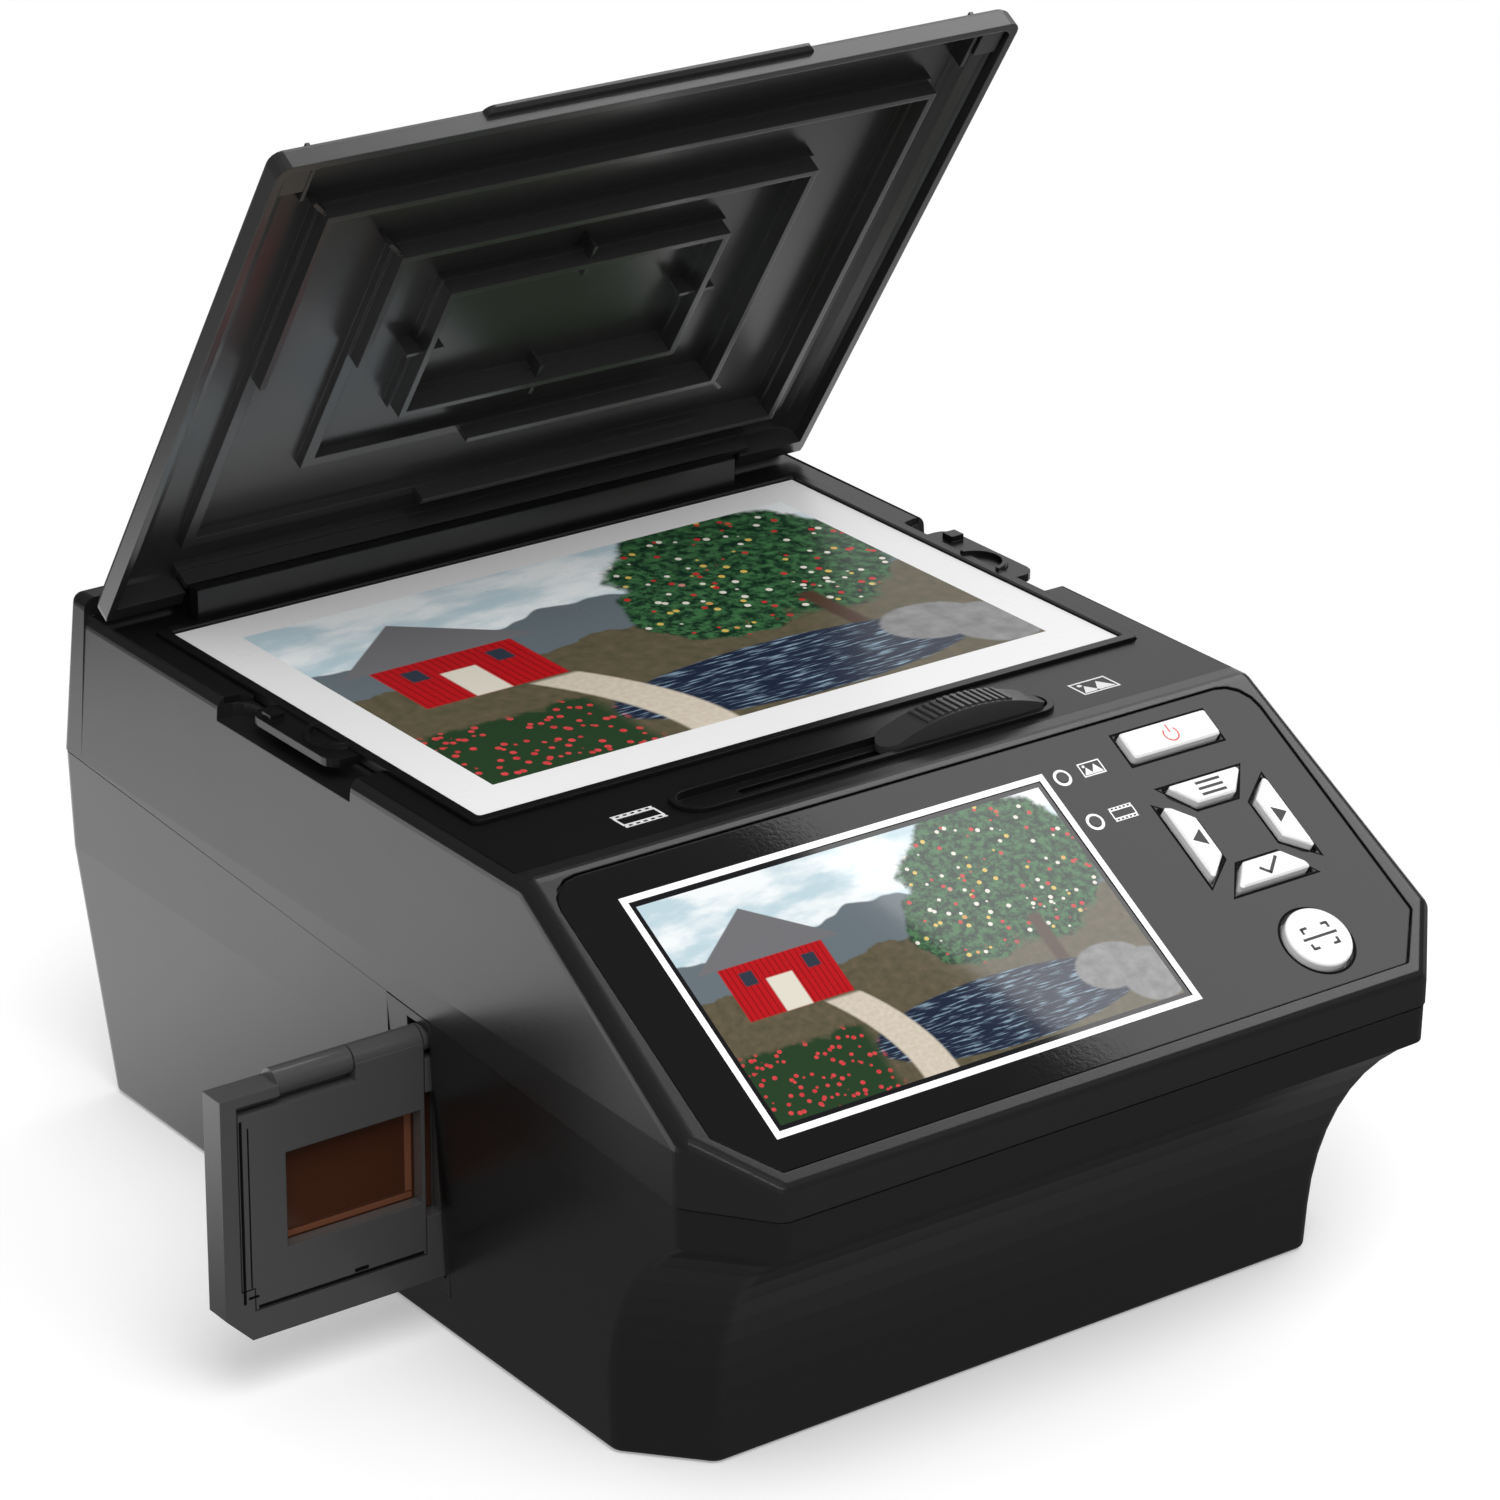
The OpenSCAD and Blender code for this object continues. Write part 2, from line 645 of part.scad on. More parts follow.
module deck_plate() color([0.05, 0.05, 0.055])
    difference() {
        union() {
            translate([0, 0, pocket_z]) linear_extrude(plate_t)
                round_box(-deck_half + rim_w + 0.2, deck_front + 0.2, deck_half - rim_w - 0.2,
                    ledge_front - 0.2, 1);
            // upstand that closes the gap under the ribs of the lid
            block([upstand_x[0], upstand_y, pocket_z],
                [upstand_x[1], upstand_y + upstand_t, deck_h + upstand_h]);
            // ears of the lid hinge
            for (s = [-1, 1]) {
                span_x(s, ear_x[0], ear_x[1], hinge_y, hinge_z, ear_r);
                mirror([s > 0 ? 0 : 1, 0, 0])
                    block([ear_x[0], hinge_y - ear_r, pocket_z], [ear_x[1], hinge_y + ear_r, hinge_z]);
            }
        }
        bed_hole(pocket_z - cut);
        notches(bed_w / 2 - cut);
        translate([0, -slider_y, pocket_z - cut]) linear_extrude(20)
            centred_box(bezel_len - 2 + 2 * 0.1, bezel_w - 2 + 2 * 0.1, bezel_w / 2 - 1);
        for (s = [-1, 1]) span_x(s, ear_x[0] - cut, ear_x[1] + cut, hinge_y, hinge_z, pin_r);
    }

module photo_glass() color([0.75, 0.8, 0.82, 0.5])
    translate([0, print_y, glass_z]) linear_extrude(glass_t) centred_box(bed_w, bed_d, 1.8);

tab_y = [notch_y - 17.8, notch_y + 16.6];
tab_top = plate_top + 0.4;
grip_y = notch_y - 6;
grip_r = 7.8;
// Finger tab: a flat tongue with a raised arc around a scoop, and a small peg behind it
module finger_tab() {
    translate([0, 0, pocket_z]) linear_extrude(tab_top - pocket_z)
        polygon(rounded(box_path(bed_w / 2 - 1, tab_y[0], deck_half - 1.4, tab_y[1]),
            [0.2, 4, 4, 0.2]));
    intersection() {
        translate([bed_w / 2 - 2, grip_y, tab_top - 0.2]) difference() {
            cylinder(h = 1.4, r1 = grip_r, r2 = grip_r - 0.5);
            translate([0, 0, -cut]) cylinder(h = 1.4 + 2 * cut, r = grip_r - 1.6);
        }
        block([bed_w / 2 - 1, grip_y - grip_r, tab_top - 1], [deck_half - 2.4, grip_y + grip_r, tab_top + 3]);
    }
    block([bed_w / 2 + 2.4, tab_y[1] - 7.6, tab_top - 0.2], [bed_w / 2 + 6, tab_y[1] - 4, tab_top + 1.4]);
}

// Frame that holds the print, with a finger tab in each side notch
module photo_tray() color([0.04, 0.04, 0.045])
    difference() {
        union() {
            translate([0, print_y, pocket_z]) linear_extrude(plate_top - pocket_z + 0.9)
                centred_box(bed_w, bed_d, 1.8);
            for (s = [0, 1]) mirror([s, 0, 0]) finger_tab();
        }
        translate([0, print_y, pocket_z - cut]) linear_extrude(20)
            centred_box(print_w - 2 * print_ledge, print_d - 2 * print_ledge, 1);
        translate([0, print_y, print_z - print_t]) linear_extrude(20)
            centred_box(print_w + 1, print_d + 1, 1);
    }

module sample_print() color([0.9, 0.9, 0.88])
    translate([0, print_y, print_z - print_t]) linear_extrude(print_t)
        square([print_w, print_d], center = true);

// ---- lid ----

// Form of the lid: upright sides, then a low rounded shoulder up to the top
module lid_form(e, low, top) {
    // inset and height of the shoulder, from the side of the lid to its top
    steps = [[0, 0], [0.08, 0.3], [0.35, 0.68], [0.7, 0.92], [1, 1]];
    base = top - lid_shoulder_h;
    hull() {
        lid_slab(e, low, base);
        for (p = steps) lid_slab(e + p[0] * lid_shoulder, base + p[1] * lid_shoulder_h - 0.1,
            base + p[1] * lid_shoulder_h);
    }
}

module lid_slab(e, z0, z1)
    translate([0, 0, z0]) linear_extrude(z1 - z0)
        round_box(-lid_half + e, lid_free + e, lid_half - e, hinge_back - e, max(lid_corner - e / 3, 1), 4);

// One side of a rib rectangle between two points, low or full height
module rib(a, b, low) {
    d = unit(b - a);
    reach = low ? rib_foot_h : rib_h;
    len_ab = norm(b - a);
    translate([a[0], a[1], 0]) rotate(atan2(d[1], d[0])) {
        translate([-rib_foot_t / 2, -rib_foot_t / 2, lid_floor - rib_foot_h])
            cube([len_ab + rib_foot_t, rib_foot_t, rib_foot_h + 0.2]);
        translate([-rib_t / 2, -rib_t / 2, lid_floor - reach])
            cube([len_ab + rib_t, rib_t, reach + 0.2]);
    }
}

// Point of a rib: v counts from the hinge edge towards the free edge
function lid_at(u, v) = [rib_mid + u, hinge_back - v];

// A closed rectangle of ribs, with a low part at its near left corner up to the given x
module rib_ring(r, split) {
    u = r[0];
    near = r[1];
    far = r[2];
    low_u = split - rib_mid;
    rib(lid_at(u, near), lid_at(u, far), false);
    rib(lid_at(-u, far), lid_at(u, far), false);
    rib(lid_at(-u, split_v), lid_at(-u, far), false);
    rib(lid_at(low_u, near), lid_at(u, near), false);
    rib(lid_at(-u, near), lid_at(-u, split_v), true);
    rib(lid_at(-u, near), lid_at(low_u, near), true);
}

module gusset(u0, v0, u1, v1) {
    a = lid_at(u0, v0);
    b = lid_at(u1, v1);
    d = unit(b - a);
    reach = rib_h - 1.2;
    translate([a[0], a[1], lid_floor - reach]) rotate(atan2(d[1], d[0]))
        translate([0, -0.5, 0]) cube([norm(b - a), 1, reach + 0.2]);
}

module gussets() {
    in = rib_rings[2];
    mid_v = (in[1] + in[2]) / 2;
    for (v = [in[1], in[2]]) gusset(0, v - 5, 0, v + 5);
    for (u = [-in[0], in[0]]) gusset(u - 5, mid_v, u + 5, mid_v);
    for (r = [rib_rings[0], rib_rings[1]]) gusset(-r[0], r[2], -r[0] - 5, r[2] + 5);
    gusset(rib_rings[1][0], rib_rings[1][1], rib_rings[1][0] + 5, rib_rings[1][1] - 5);
}

module lid_ribs() {
    in = rib_rings[2];
    rib_ring(rib_rings[0], split_x[0]);
    rib_ring(rib_rings[1], split_x[1]);
    for (u = [-in[0], in[0]]) rib(lid_at(u, in[1]), lid_at(u, in[2]), false);
    for (v = [in[1], in[2]]) rib(lid_at(-in[0], v), lid_at(in[0], v), false);
    rib([-ear_x[1], hinge_back - near_rib_v], [ear_x[1] + rib_mid, hinge_back - near_rib_v], false);
    gussets();
}

lip_mid = -2;
module lid_lip() {
    y1 = lid_free;
    low = lid_low + 3;
    prof = [[y1 + 6, low], [y1 - lip_reach + 0.8, low], [y1 - lip_reach, low + 0.8],
        [y1 - lip_reach, low + 1.6], [y1 + 0.6, low + 2.4], [y1 + 6, lid_floor]];
    intersection() {
        rotate([90, 0, 90]) translate([0, 0, lip_mid - lip_len / 2]) linear_extrude(lip_len) polygon(prof);
        translate([0, 0, low - cut]) linear_extrude(20)
            round_box(lip_mid - lip_len / 2, y1 - lip_reach, lip_mid + lip_len / 2, y1 + 12, 2);
    }
}

module lid() color([0.06, 0.06, 0.065])
    on_lid() difference() {
        union() {
            difference() {
                union() {
                    lid_form(0, lid_low, lid_high);
                    lid_lip();
                }
                lid_form(lid_rim, lid_low - cut, lid_floor);
            }
            lid_ribs();
            // solid ends that turn on the pins
            intersection() {
                for (s = [0, 1]) mirror([s, 0, 0])
                    block([knuckle_in, -2.5, lid_low], [lid_half, hinge_back, lid_high]);
                lid_form(0, lid_low, lid_high);
            }
            // corner blocks at the free edge
            for (s = [0, 1]) mirror([s, 0, 0]) {
                block([lid_half - 9.3, lid_free + 3, lid_low + 1], [lid_half - 3, lid_free + 10, lid_floor]);
                block([lid_half - 11, lid_free + 1, lid_low + 1.6], [lid_half - 10, lid_free + 14, lid_floor]);
            }
        }
        // chamfer under the hinge edge, clear of the deck as the lid swings
        translate([-body_w, hinge_back, lid_low]) rotate([45, 0, 0])
            translate([0, -hinge_soft * sqrt(0.5), -hinge_soft * sqrt(0.5)])
                cube([2 * body_w, hinge_soft * sqrt(2), hinge_soft * sqrt(2)]);
        for (s = [-1, 1]) {
            span_x(s, knuckle_in - cut, pin_end + 1.2, 0, 0, pin_r + run_gap);
            // notches for the ears
            mirror([s > 0 ? 0 : 1, 0, 0])
                block([ear_x[0] - 0.4, -ear_r - 0.4, lid_low - cut],
                    [knuckle_in, hinge_back + cut, lid_high + cut]);
        }
    }

module hinge_pins() color([0.7, 0.7, 0.72])
    for (s = [-1, 1]) span_x(s, ear_x[0], pin_end, hinge_y, hinge_z, pin_r);

// ---- mode slider ----

stem_w = 14;
stem_t = 3;
seat_z = pocket_z;
module slider_bezel() color([0.05, 0.05, 0.055])
    translate([0, -slider_y, 0]) difference() {
        union() {
            translate([0, 0, seat_z]) linear_extrude(plate_t + 0.2)
                centred_box(bezel_len - 2, bezel_w - 2, bezel_w / 2 - 1);
            translate([0, 0, plate_top]) linear_extrude(bezel_rise)
                centred_box(bezel_len, bezel_w, bezel_w / 2 - 0.01);
        }
        translate([0, 0, seat_z + 0.6]) linear_extrude(20)
            centred_box(bezel_len - 2 * bezel_wall, bezel_w - 2 * bezel_wall, bezel_w / 2 - bezel_wall);
        translate([0, 0, seat_z - cut]) linear_extrude(20)
            centred_box(knob_travel + stem_w + 1, stem_t + 0.6, 1);
    }

module knob_ridges(base, arch_r) {
    step = 1.9;
    for (i = [0 : ridge_count - 1]) {
        x = (i - (ridge_count - 1) / 2) * step;
        g = asin(x / arch_r);
        translate([0, 0, base]) rotate([0, g, 0]) translate([-0.45, -3.6, arch_r - 0.25]) cube([0.9, 7.2, 0.75]);
    }
}

module slider_knob() color([0.04, 0.04, 0.045])
    translate([slider_x, -slider_y, 0]) {
        low = seat_z + 0.6 + 0.2;
        top = plate_top + bezel_rise + knob_arch - 1;
        end_z = plate_top + bezel_rise;
        rise = top - end_z;
        arch_r = (pow(knob_len / 2, 2) + rise * rise) / (2 * rise);
        intersection() {
            union() {
                translate([0, 5, top - arch_r]) rotate([90, 0, 0]) cylinder(h = 10, r = arch_r, $fn = 160);
                knob_ridges(top - arch_r, arch_r);
            }
            translate([0, 0, low]) linear_extrude(30)
                centred_box(knob_len, bezel_w - 2 * bezel_wall - 0.6, (bezel_w - 2 * bezel_wall - 0.6) / 2 - 0.01);
        }
        block([-stem_w / 2, -stem_t / 2, deck_in - 5], [stem_w / 2, stem_t / 2, low + 0.5]);
    }

mirror_x = knob_travel;                          // the carriage mirror waits beside the photo path
module mirror_place()
    translate([mirror_x, print_y, window_z]) rotate([0, 45, 0]) children();

module mirror_carriage() color([0.2, 0.2, 0.22])
    difference() {
        union() {
            // arm behind the stem of the knob
            block([slider_x - 9, -slider_y + stem_t / 2, carriage_z - carriage_t],
                [slider_x + 9, -slider_y + stem_t / 2 + 3, deck_in - 1]);
            block([slider_x - 9, -slider_y + stem_t / 2, carriage_z - carriage_t],
                [mirror_x + 15, rod_front_y + 12, carriage_z]);
            block([mirror_x - 14.5, -slider_y + stem_t / 2, carriage_z - carriage_t],
                [mirror_x + 15, rod_back_y + 4, carriage_z]);
            along_x(slider_x - 9, slider_x + 21, rod_front_y, rod_z, tube_r);
            along_x(mirror_x - 14.5, mirror_x + 15, rod_back_y, rod_z, tube_r);
            for (y = [rod_front_y, rod_back_y])
                block([y < 0 ? slider_x - 9 : mirror_x - 14.5, y - 3, carriage_z - 0.5],
                    [y < 0 ? slider_x + 21 : mirror_x + 15, y + 3, rod_z]);
            // cheeks that hold the mirror
            for (s = [-1, 1]) translate([0, print_y + s * (mirror_s / 2 + 1.2), 0]) cheek();
        }
        along_x(-half_w, half_w, rod_front_y, rod_z, rod_r + run_gap);
        along_x(-half_w, half_w, rod_back_y, rod_z, rod_r + run_gap);
    }

// Side plate of the mirror holder: a triangle under the carriage
module cheek() {
    h = carriage_z - carriage_t;
    reach = mirror_s / 2 * sin(45);
    translate([0, 1, 0]) rotate([90, 0, 0]) linear_extrude(2)
        polygon([[mirror_x - reach, h + 0.5], [mirror_x - reach, window_z + reach],
            [mirror_x + reach, window_z - reach], [mirror_x + reach + 3, window_z - reach],
            [mirror_x + reach + 3, h + 0.5]]);
}

module carriage_mirror() color([0.8, 0.85, 0.9])
    mirror_place() translate([-mirror_s / 2, -mirror_s / 2 - 0.2, 0]) cube([mirror_s, mirror_s + 0.4, mirror_t]);

rod_ends = [slider_x - 9 - knob_travel - 4, mirror_x + 15 + 6];
module guide_rods() color([0.75, 0.75, 0.77])
    for (y = [rod_front_y, rod_back_y]) along_x(rod_ends[0], rod_ends[1], y, rod_z, rod_r);

module rod_brackets() color([0.35, 0.35, 0.37])
    difference() {
        for (x = rod_ends) for (y = [rod_front_y, rod_back_y]) {
            x0 = x < 0 ? x : x - 3;
            block([x0, y - 5, floor_z], [x0 + 3, y + 5, rod_z + 5]);
            block([x0 - 3, y - 5, floor_z], [x0 + 6, y + 5, floor_z + 2.5]);
        }
        for (y = [rod_front_y, rod_back_y]) along_x(-half_w, half_w, y, rod_z, rod_r + 0.02);
    }

// ---- control face ----

module control_panel() color([0.09, 0.09, 0.095])
    on_slope() translate([0, 0, -panel_t]) linear_extrude(panel_t)
        difference() {
            polygon(rounded(panel_path, panel_radii));
            button_holes(button_gap);
            screen_hole(0.1);
        }

module screen_module() color([0.5, 0.6, 0.68])
    on_slope() translate([-screen_x, screen_h / 2, 0]) {
        translate([-lens_w / 2, -lens_h / 2, face_in - 1]) cube([lens_w, lens_h, -face_in + 1 - 0.2]);
        translate([-lens_w / 2 - 3, -lens_h / 2 - 3, face_in - 4]) cube([lens_w + 6, lens_h + 6, 4]);
    }

module indicator_lamps() color([0.95, 0.95, 0.95])
    on_slope() for (p = lamp_pos) translate([p[0], p[1], 0]) {
        translate([0, 0, board_top]) cylinder(h = 0.2 - board_top, r = lamp_r);
        translate([0, 0, board_top]) cylinder(h = 2, r = lamp_r + 0.7);
    }

// Flange and stem under a cap
module button_foot(p) {
    translate([p[0], p[1], stem_end]) cylinder(h = flange_top - stem_end, r = 2);
}

// Cap with a bevel around its top
module cap() {
    translate([0, 0, flange_top - flange_t]) linear_extrude(button_rise - 0.6 - flange_top + flange_t) children(0);
    hull() {
        translate([0, 0, button_rise - 0.65]) linear_extrude(0.1) children(0);
        translate([0, 0, button_rise - 0.1]) linear_extrude(0.1) children(1);
    }
}

module key(turn) color([0.94, 0.94, 0.94])
    on_slope() {
        cap() {
            key_place(turn) key_outline(0);
            key_place(turn) key_outline(-0.45);
        }
        translate([0, 0, flange_top - flange_t]) linear_extrude(flange_t) key_place(turn) key_outline(button_gap + 0.6);
        key_place(turn) button_foot([0, ring_half - key_depth / 2]);
    }

module menu_button() key(0);
module left_button() key(90);
module enter_button() key(180);
module right_button() key(270);

module power_button() color([0.94, 0.94, 0.94])
    on_slope() {
        cap() {
            power_outline(0);
            power_outline(-0.45);
        }
        translate([0, 0, flange_top - flange_t]) linear_extrude(flange_t) power_outline(button_gap + 0.8);
        button_foot(power_pos);
    }

module scan_button() color([0.94, 0.94, 0.94])
    on_slope() {
        translate([scan_pos[0], scan_pos[1], 0]) rotate_extrude() polygon([
            [0, flange_top - flange_t], [scan_r + button_gap + 0.8, flange_top - flange_t],
            [scan_r + button_gap + 0.8, flange_top], [scan_r, flange_top],
            [scan_r, button_rise - 0.7], [scan_r - 0.25, button_rise - 0.3],
            [scan_r - 0.8, button_rise - 0.05], [scan_r - 1.6, button_rise], [0, button_rise]]);
        button_foot(scan_pos);
    }

board_x = [34, 87.2];
board_y = [-6, 70.4];
board_posts = [[36.5, -3.5], [84.6, -3.5], [36.5, 68], [84.6, 68]];
key_points = [power_pos, scan_pos, for (turn = [0 : 90 : 270])
    [ring_x - (ring_half - key_depth / 2) * sin(turn), ring_up + (ring_half - key_depth / 2) * cos(turn)]];

module button_board() color([0.05, 0.3, 0.15])
    on_slope() translate([0, 0, board_top - board_t]) linear_extrude(board_t)
        difference() {
            round_box(board_x[0], board_y[0], board_x[1], board_y[1], 2);
            for (p = board_posts) translate(p) circle(r = 1);
        }

module key_switches() color([0.15, 0.15, 0.16])
    on_slope() for (p = key_points) translate([p[0], p[1], board_top]) {
        translate([-3, -3, 0]) cube([6, 6, switch_h - 1.4]);
        cylinder(h = switch_h, r = 1.7);
    }

// ---- film tray ----

slot_y = [-tray_front - 2, -17.5];
bezel_proud = 0.1;   // how far the slot bezel stands out of the side wall
slot_z = [tray_z - 4.6, seam_h + 12];
function side_x(z) = half_w - lean_base * (1 - min(z / seam_h, 1));

module slot_bezel() color([0.1, 0.1, 0.105])
    difference() {
        translate([0, slot_y[1] - 0.1, 0]) rotate([90, 0, 0]) linear_extrude(slot_y[1] - slot_y[0] - 0.2)
            polygon([[-side_x(slot_z[0]) - bezel_proud, slot_z[0] + 0.1],
                [-side_x(slot_z[1]) - bezel_proud, slot_z[1]],
                [guide_start - 0.1, slot_z[1]], [guide_start - 0.1, slot_z[0] + 0.1]]);
        above_seam(-0.2);
        block([-half_w - cut, -tray_front - 0.7, tray_z - 0.4], [guide_start + cut, tray_back + 0.7, guide_high]);
    }

// Channel that the tray runs in
module film_guide() color([0.25, 0.25, 0.27])
    difference() {
        union() {
            block([guide_start, -tray_front - guide_gap - guide_t, tray_z - guide_gap - guide_t],
                [guide_end, tray_back + guide_gap + guide_t, guide_high + guide_t]);
            for (x = [guide_start + 2, guide_end - 10])
                block([x, -tray_front - guide_gap - guide_t, floor_z],
                    [x + 8, tray_back + guide_gap + guide_t, tray_z - guide_gap - 1]);
        }
        block([guide_start - cut, -tray_front - guide_gap, tray_z - guide_gap],
            [guide_end + cut, tray_back + guide_gap, guide_high]);
        // light path
        block([lens_axis_x - film_w / 2 - 1, -tray_front - 10, window_z - film_h / 2 - 1],
            [lens_axis_x + film_w / 2 + 1, tray_back + 10, window_z + film_h / 2 + 1]);
    }

module window(g, y0, y1)
    block([window_x - film_w / 2 - g, y0, window_z - film_h / 2 - g],
        [window_x + film_w / 2 + g, y1, window_z + film_h / 2 + g]);

// Round section of the hinge barrel with the web that joins it to its leaf
module barrel_part(x0, x1, y0, y1, low) {
    along_x(x0, x1, barrel_y, barrel_z, barrel_r);
    block([x0, y0, low], [x1, y1, barrel_z]);
}

module tray_base() color([0.16, 0.16, 0.165])
    difference() {
        union() {
            // back leaf with the chamfered lower corner
            translate([0, tray_back, 0]) rotate([90, 0, 0]) linear_extrude(tray_back - leaf_front)
                polygon([[post_end, tray_z + tray_chamfer], [post_end + tray_chamfer, tray_z],
                    [leaf_end, tray_z], [leaf_end, leaf_high], [post_end, leaf_high]]);
            // channel along the foot and the tongue beyond the cover
            translate([0, tray_back, 0]) rotate([90, 0, 0]) linear_extrude(tray_t)
                polygon([[post_end, tray_z + tray_chamfer], [post_end + tray_chamfer, tray_z],
                    [leaf_end, tray_z], [leaf_end, leaf_high], [cover_end + 0.3, leaf_high],
                    [cover_end + 0.3, channel_top], [cover_start + 3, channel_top],
                    [cover_start + 3, cover_z + 5], [post_end + post_t, cover_z + 5],
                    [post_end + post_t, land_z], [barrel_left + 0.5, land_z],
                    [barrel_left + 0.5, barrel_z + 0.6], [post_end, barrel_z + 0.6]]);
            barrel_part(barrel_left, barrel_mid - 0.15, barrel_y, tray_back, leaf_high - 1);
            barrel_part(cover_end + 0.3, leaf_end, barrel_y, tray_back, leaf_high - 1);
        }
        // chamfer under the land of the post, clear of the cover as it swings
        translate([post_end + post_t + 0.01, -tray_front, land_z]) rotate([45, 0, 0])
            translate([0, -1.1, -1.1]) cube([barrel_left + 0.5 - post_end - post_t, 2.2, 2.2]);
        window(0, -half_w, half_w);
        // seat of the film behind the cover
        block([window_x - 22.3, -tray_front - cut, window_z - 15.3],
            [window_x + 22.3 + 0.1, leaf_front + 0.4, window_z + 15.3]);
        along_x(barrel_left + 0.6, leaf_end + cut, barrel_y, barrel_z, barrel_pin_r);
    }

module tray_cover() color([0.18, 0.18, 0.185])
    difference() {
        union() {
            translate([0, cover_back, 0]) rotate([90, 0, 0]) linear_extrude(cover_t)
                polygon([[cover_start, cover_z + 5.4], [cover_start + 3.3, cover_z + 5.4],
                    [cover_start + 3.3, cover_z], [cover_end, cover_z],
                    [cover_end, cover_high], [cover_start, cover_high]]);
            barrel_part(barrel_mid + 0.15, cover_end, -tray_front, barrel_y - 0.2, cover_high - 1);
        }
        window(0, -half_w, half_w);
        along_x(post_end, leaf_end, barrel_y, barrel_z, barrel_pin_r + run_gap);
    }

module tray_pin() color([0.7, 0.7, 0.72])
    along_x(barrel_left + 1, leaf_end - 1, barrel_y, barrel_z, barrel_pin_r);

module film_frame() color([0.55, 0.27, 0.12, 0.7])
    block([window_x - 22, leaf_front + 0.05, window_z - 15], [window_x + 22, leaf_front + 0.35, window_z + 15]);

// ---- light, mirrors and camera ----

box_y = -tray_front - guide_gap - guide_t;
module backlight_box() color([0.85, 0.85, 0.85])
    difference() {
        union() {
            block([lens_axis_x - 22, box_y - 14, window_z - 16], [lens_axis_x + 22, box_y, window_z + 16]);
            block([lens_axis_x - 8, box_y - 14, floor_z], [lens_axis_x + 8, box_y - 4, window_z - 15]);
        }
        block([lens_axis_x - 20, box_y - 12, window_z - 14], [lens_axis_x + 20, box_y + cut, window_z + 14]);
    }

module backlight_diffuser() color([0.97, 0.97, 0.95])
    block([lens_axis_x - 19.9, box_y - 2.5, window_z - 13.9], [lens_axis_x + 19.9, box_y - 0.5, window_z + 13.9]);

holder_y = 2;
module relay_holder() color([0.12, 0.12, 0.13])
    difference() {
        union() {
            block([lens_axis_x - 12, holder_y - 4, floor_z], [lens_axis_x + 12, holder_y + 4, window_z]);
            translate([lens_axis_x, holder_y - 4, window_z]) rotate([-90, 0, 0]) cylinder(h = 8, r = 12);
            block([lens_axis_x - 16, holder_y - 7, floor_z], [lens_axis_x + 16, holder_y + 7, floor_z + 3]);
        }
        translate([lens_axis_x, holder_y - 5, window_z]) rotate([-90, 0, 0]) cylinder(h = 10, r = 8);
        translate([lens_axis_x, holder_y - 2.5, window_z]) rotate([-90, 0, 0]) cylinder(h = 5, r = 9.05);
    }

module relay_lens() color([0.7, 0.8, 0.85, 0.6])
    translate([lens_axis_x, holder_y, window_z]) rotate([-90, 0, 0]) intersection() {
        translate([0, 0, 28]) sphere(r = 30.4, $fn = 96);
        translate([0, 0, -28]) sphere(r = 30.4, $fn = 96);
        translate([0, 0, -2.4]) cylinder(h = 4.8, r = 9);
    }

module fixed_mirror() color([0.8, 0.85, 0.9])
    translate([lens_axis_x, print_y, window_z]) rotate([0, 0, 45])
        block([-mirror_s / 2, 0, -mirror_s / 2], [mirror_s / 2, mirror_t, mirror_s / 2]);

module mirror_bracket() color([0.3, 0.3, 0.32])
    translate([lens_axis_x, print_y, 0]) rotate([0, 0, 45]) {
        block([-mirror_s / 2, mirror_t, floor_z], [mirror_s / 2, mirror_t + 2, window_z + mirror_s / 2]);
        block([-mirror_s / 2, mirror_t, floor_z], [mirror_s / 2, mirror_t + 12, floor_z + 2]);
        block([-mirror_s / 2, 0, floor_z], [mirror_s / 2, mirror_t + 1, window_z - mirror_s / 2]);
    }

camera_board_z = 9;
module camera_board() color([0.05, 0.3, 0.15])
    translate([0, print_y, 0]) {
        translate([0, 0, camera_board_z]) linear_extrude(1.6) centred_box(34, 34, 2);
        for (x = [-14, 14]) for (y = [-14, 14])
            translate([x, y, floor_z]) cylinder(h = camera_board_z - floor_z + 0.5, r = 2);
    }

module camera_housing() color([0.08, 0.08, 0.085])
    translate([0, print_y, camera_board_z + 1.6]) difference() {
        rotate_extrude() polygon([[0, 0], [11, 0], [11, 4], [9, 6], [9, 9], [7.6, 10], [7.6, camera_top - 10.6], [0, camera_top - 10.6]]);
        translate([0, 0, 3]) cylinder(h = 20, r = 6.05);
    }

module camera_lens() color([0.5, 0.6, 0.7, 0.7])
    translate([0, print_y, camera_board_z + 4.6]) {
        cylinder(h = 8, r = 6);
        // bulging front of the lens
        translate([0, 0, -1.5]) intersection() {
            sphere(r = 11.2, $fn = 64);
            translate([0, 0, 9]) cylinder(h = 20, r = 5.8);
        }
    }

light_y = [print_y - bed_d / 2 - 4.5, print_y + bed_d / 2 + 4.5];
module photo_lights() color([0.9, 0.9, 0.85])
    for (y = light_y) {
        block([-80, y - 3.5, deck_in - 1.6], [80, y + 3.5, deck_in]);
        for (i = [0 : 8]) block([-74 + i * 18.5 - 2.5, y - 2, deck_in - 2.4], [-74 + i * 18.5 + 2.5, y + 2, deck_in - 1.5]);
    }

// ---- electronics ----

usb_x = -26;
card_x = 22;
usb_z = 12;
usb_size = [9.2, 8, 3.4];
card_size = [26, 18, 3.4];
wall_y = base_d / 2 + back_reach * usb_z / seam_h;

module port_cut(x, s, z)
    block([x - s[0] / 2, wall_y - wall - 6, z - s[2] / 2], [x + s[0] / 2, wall_y + 6, z + s[2] / 2]);

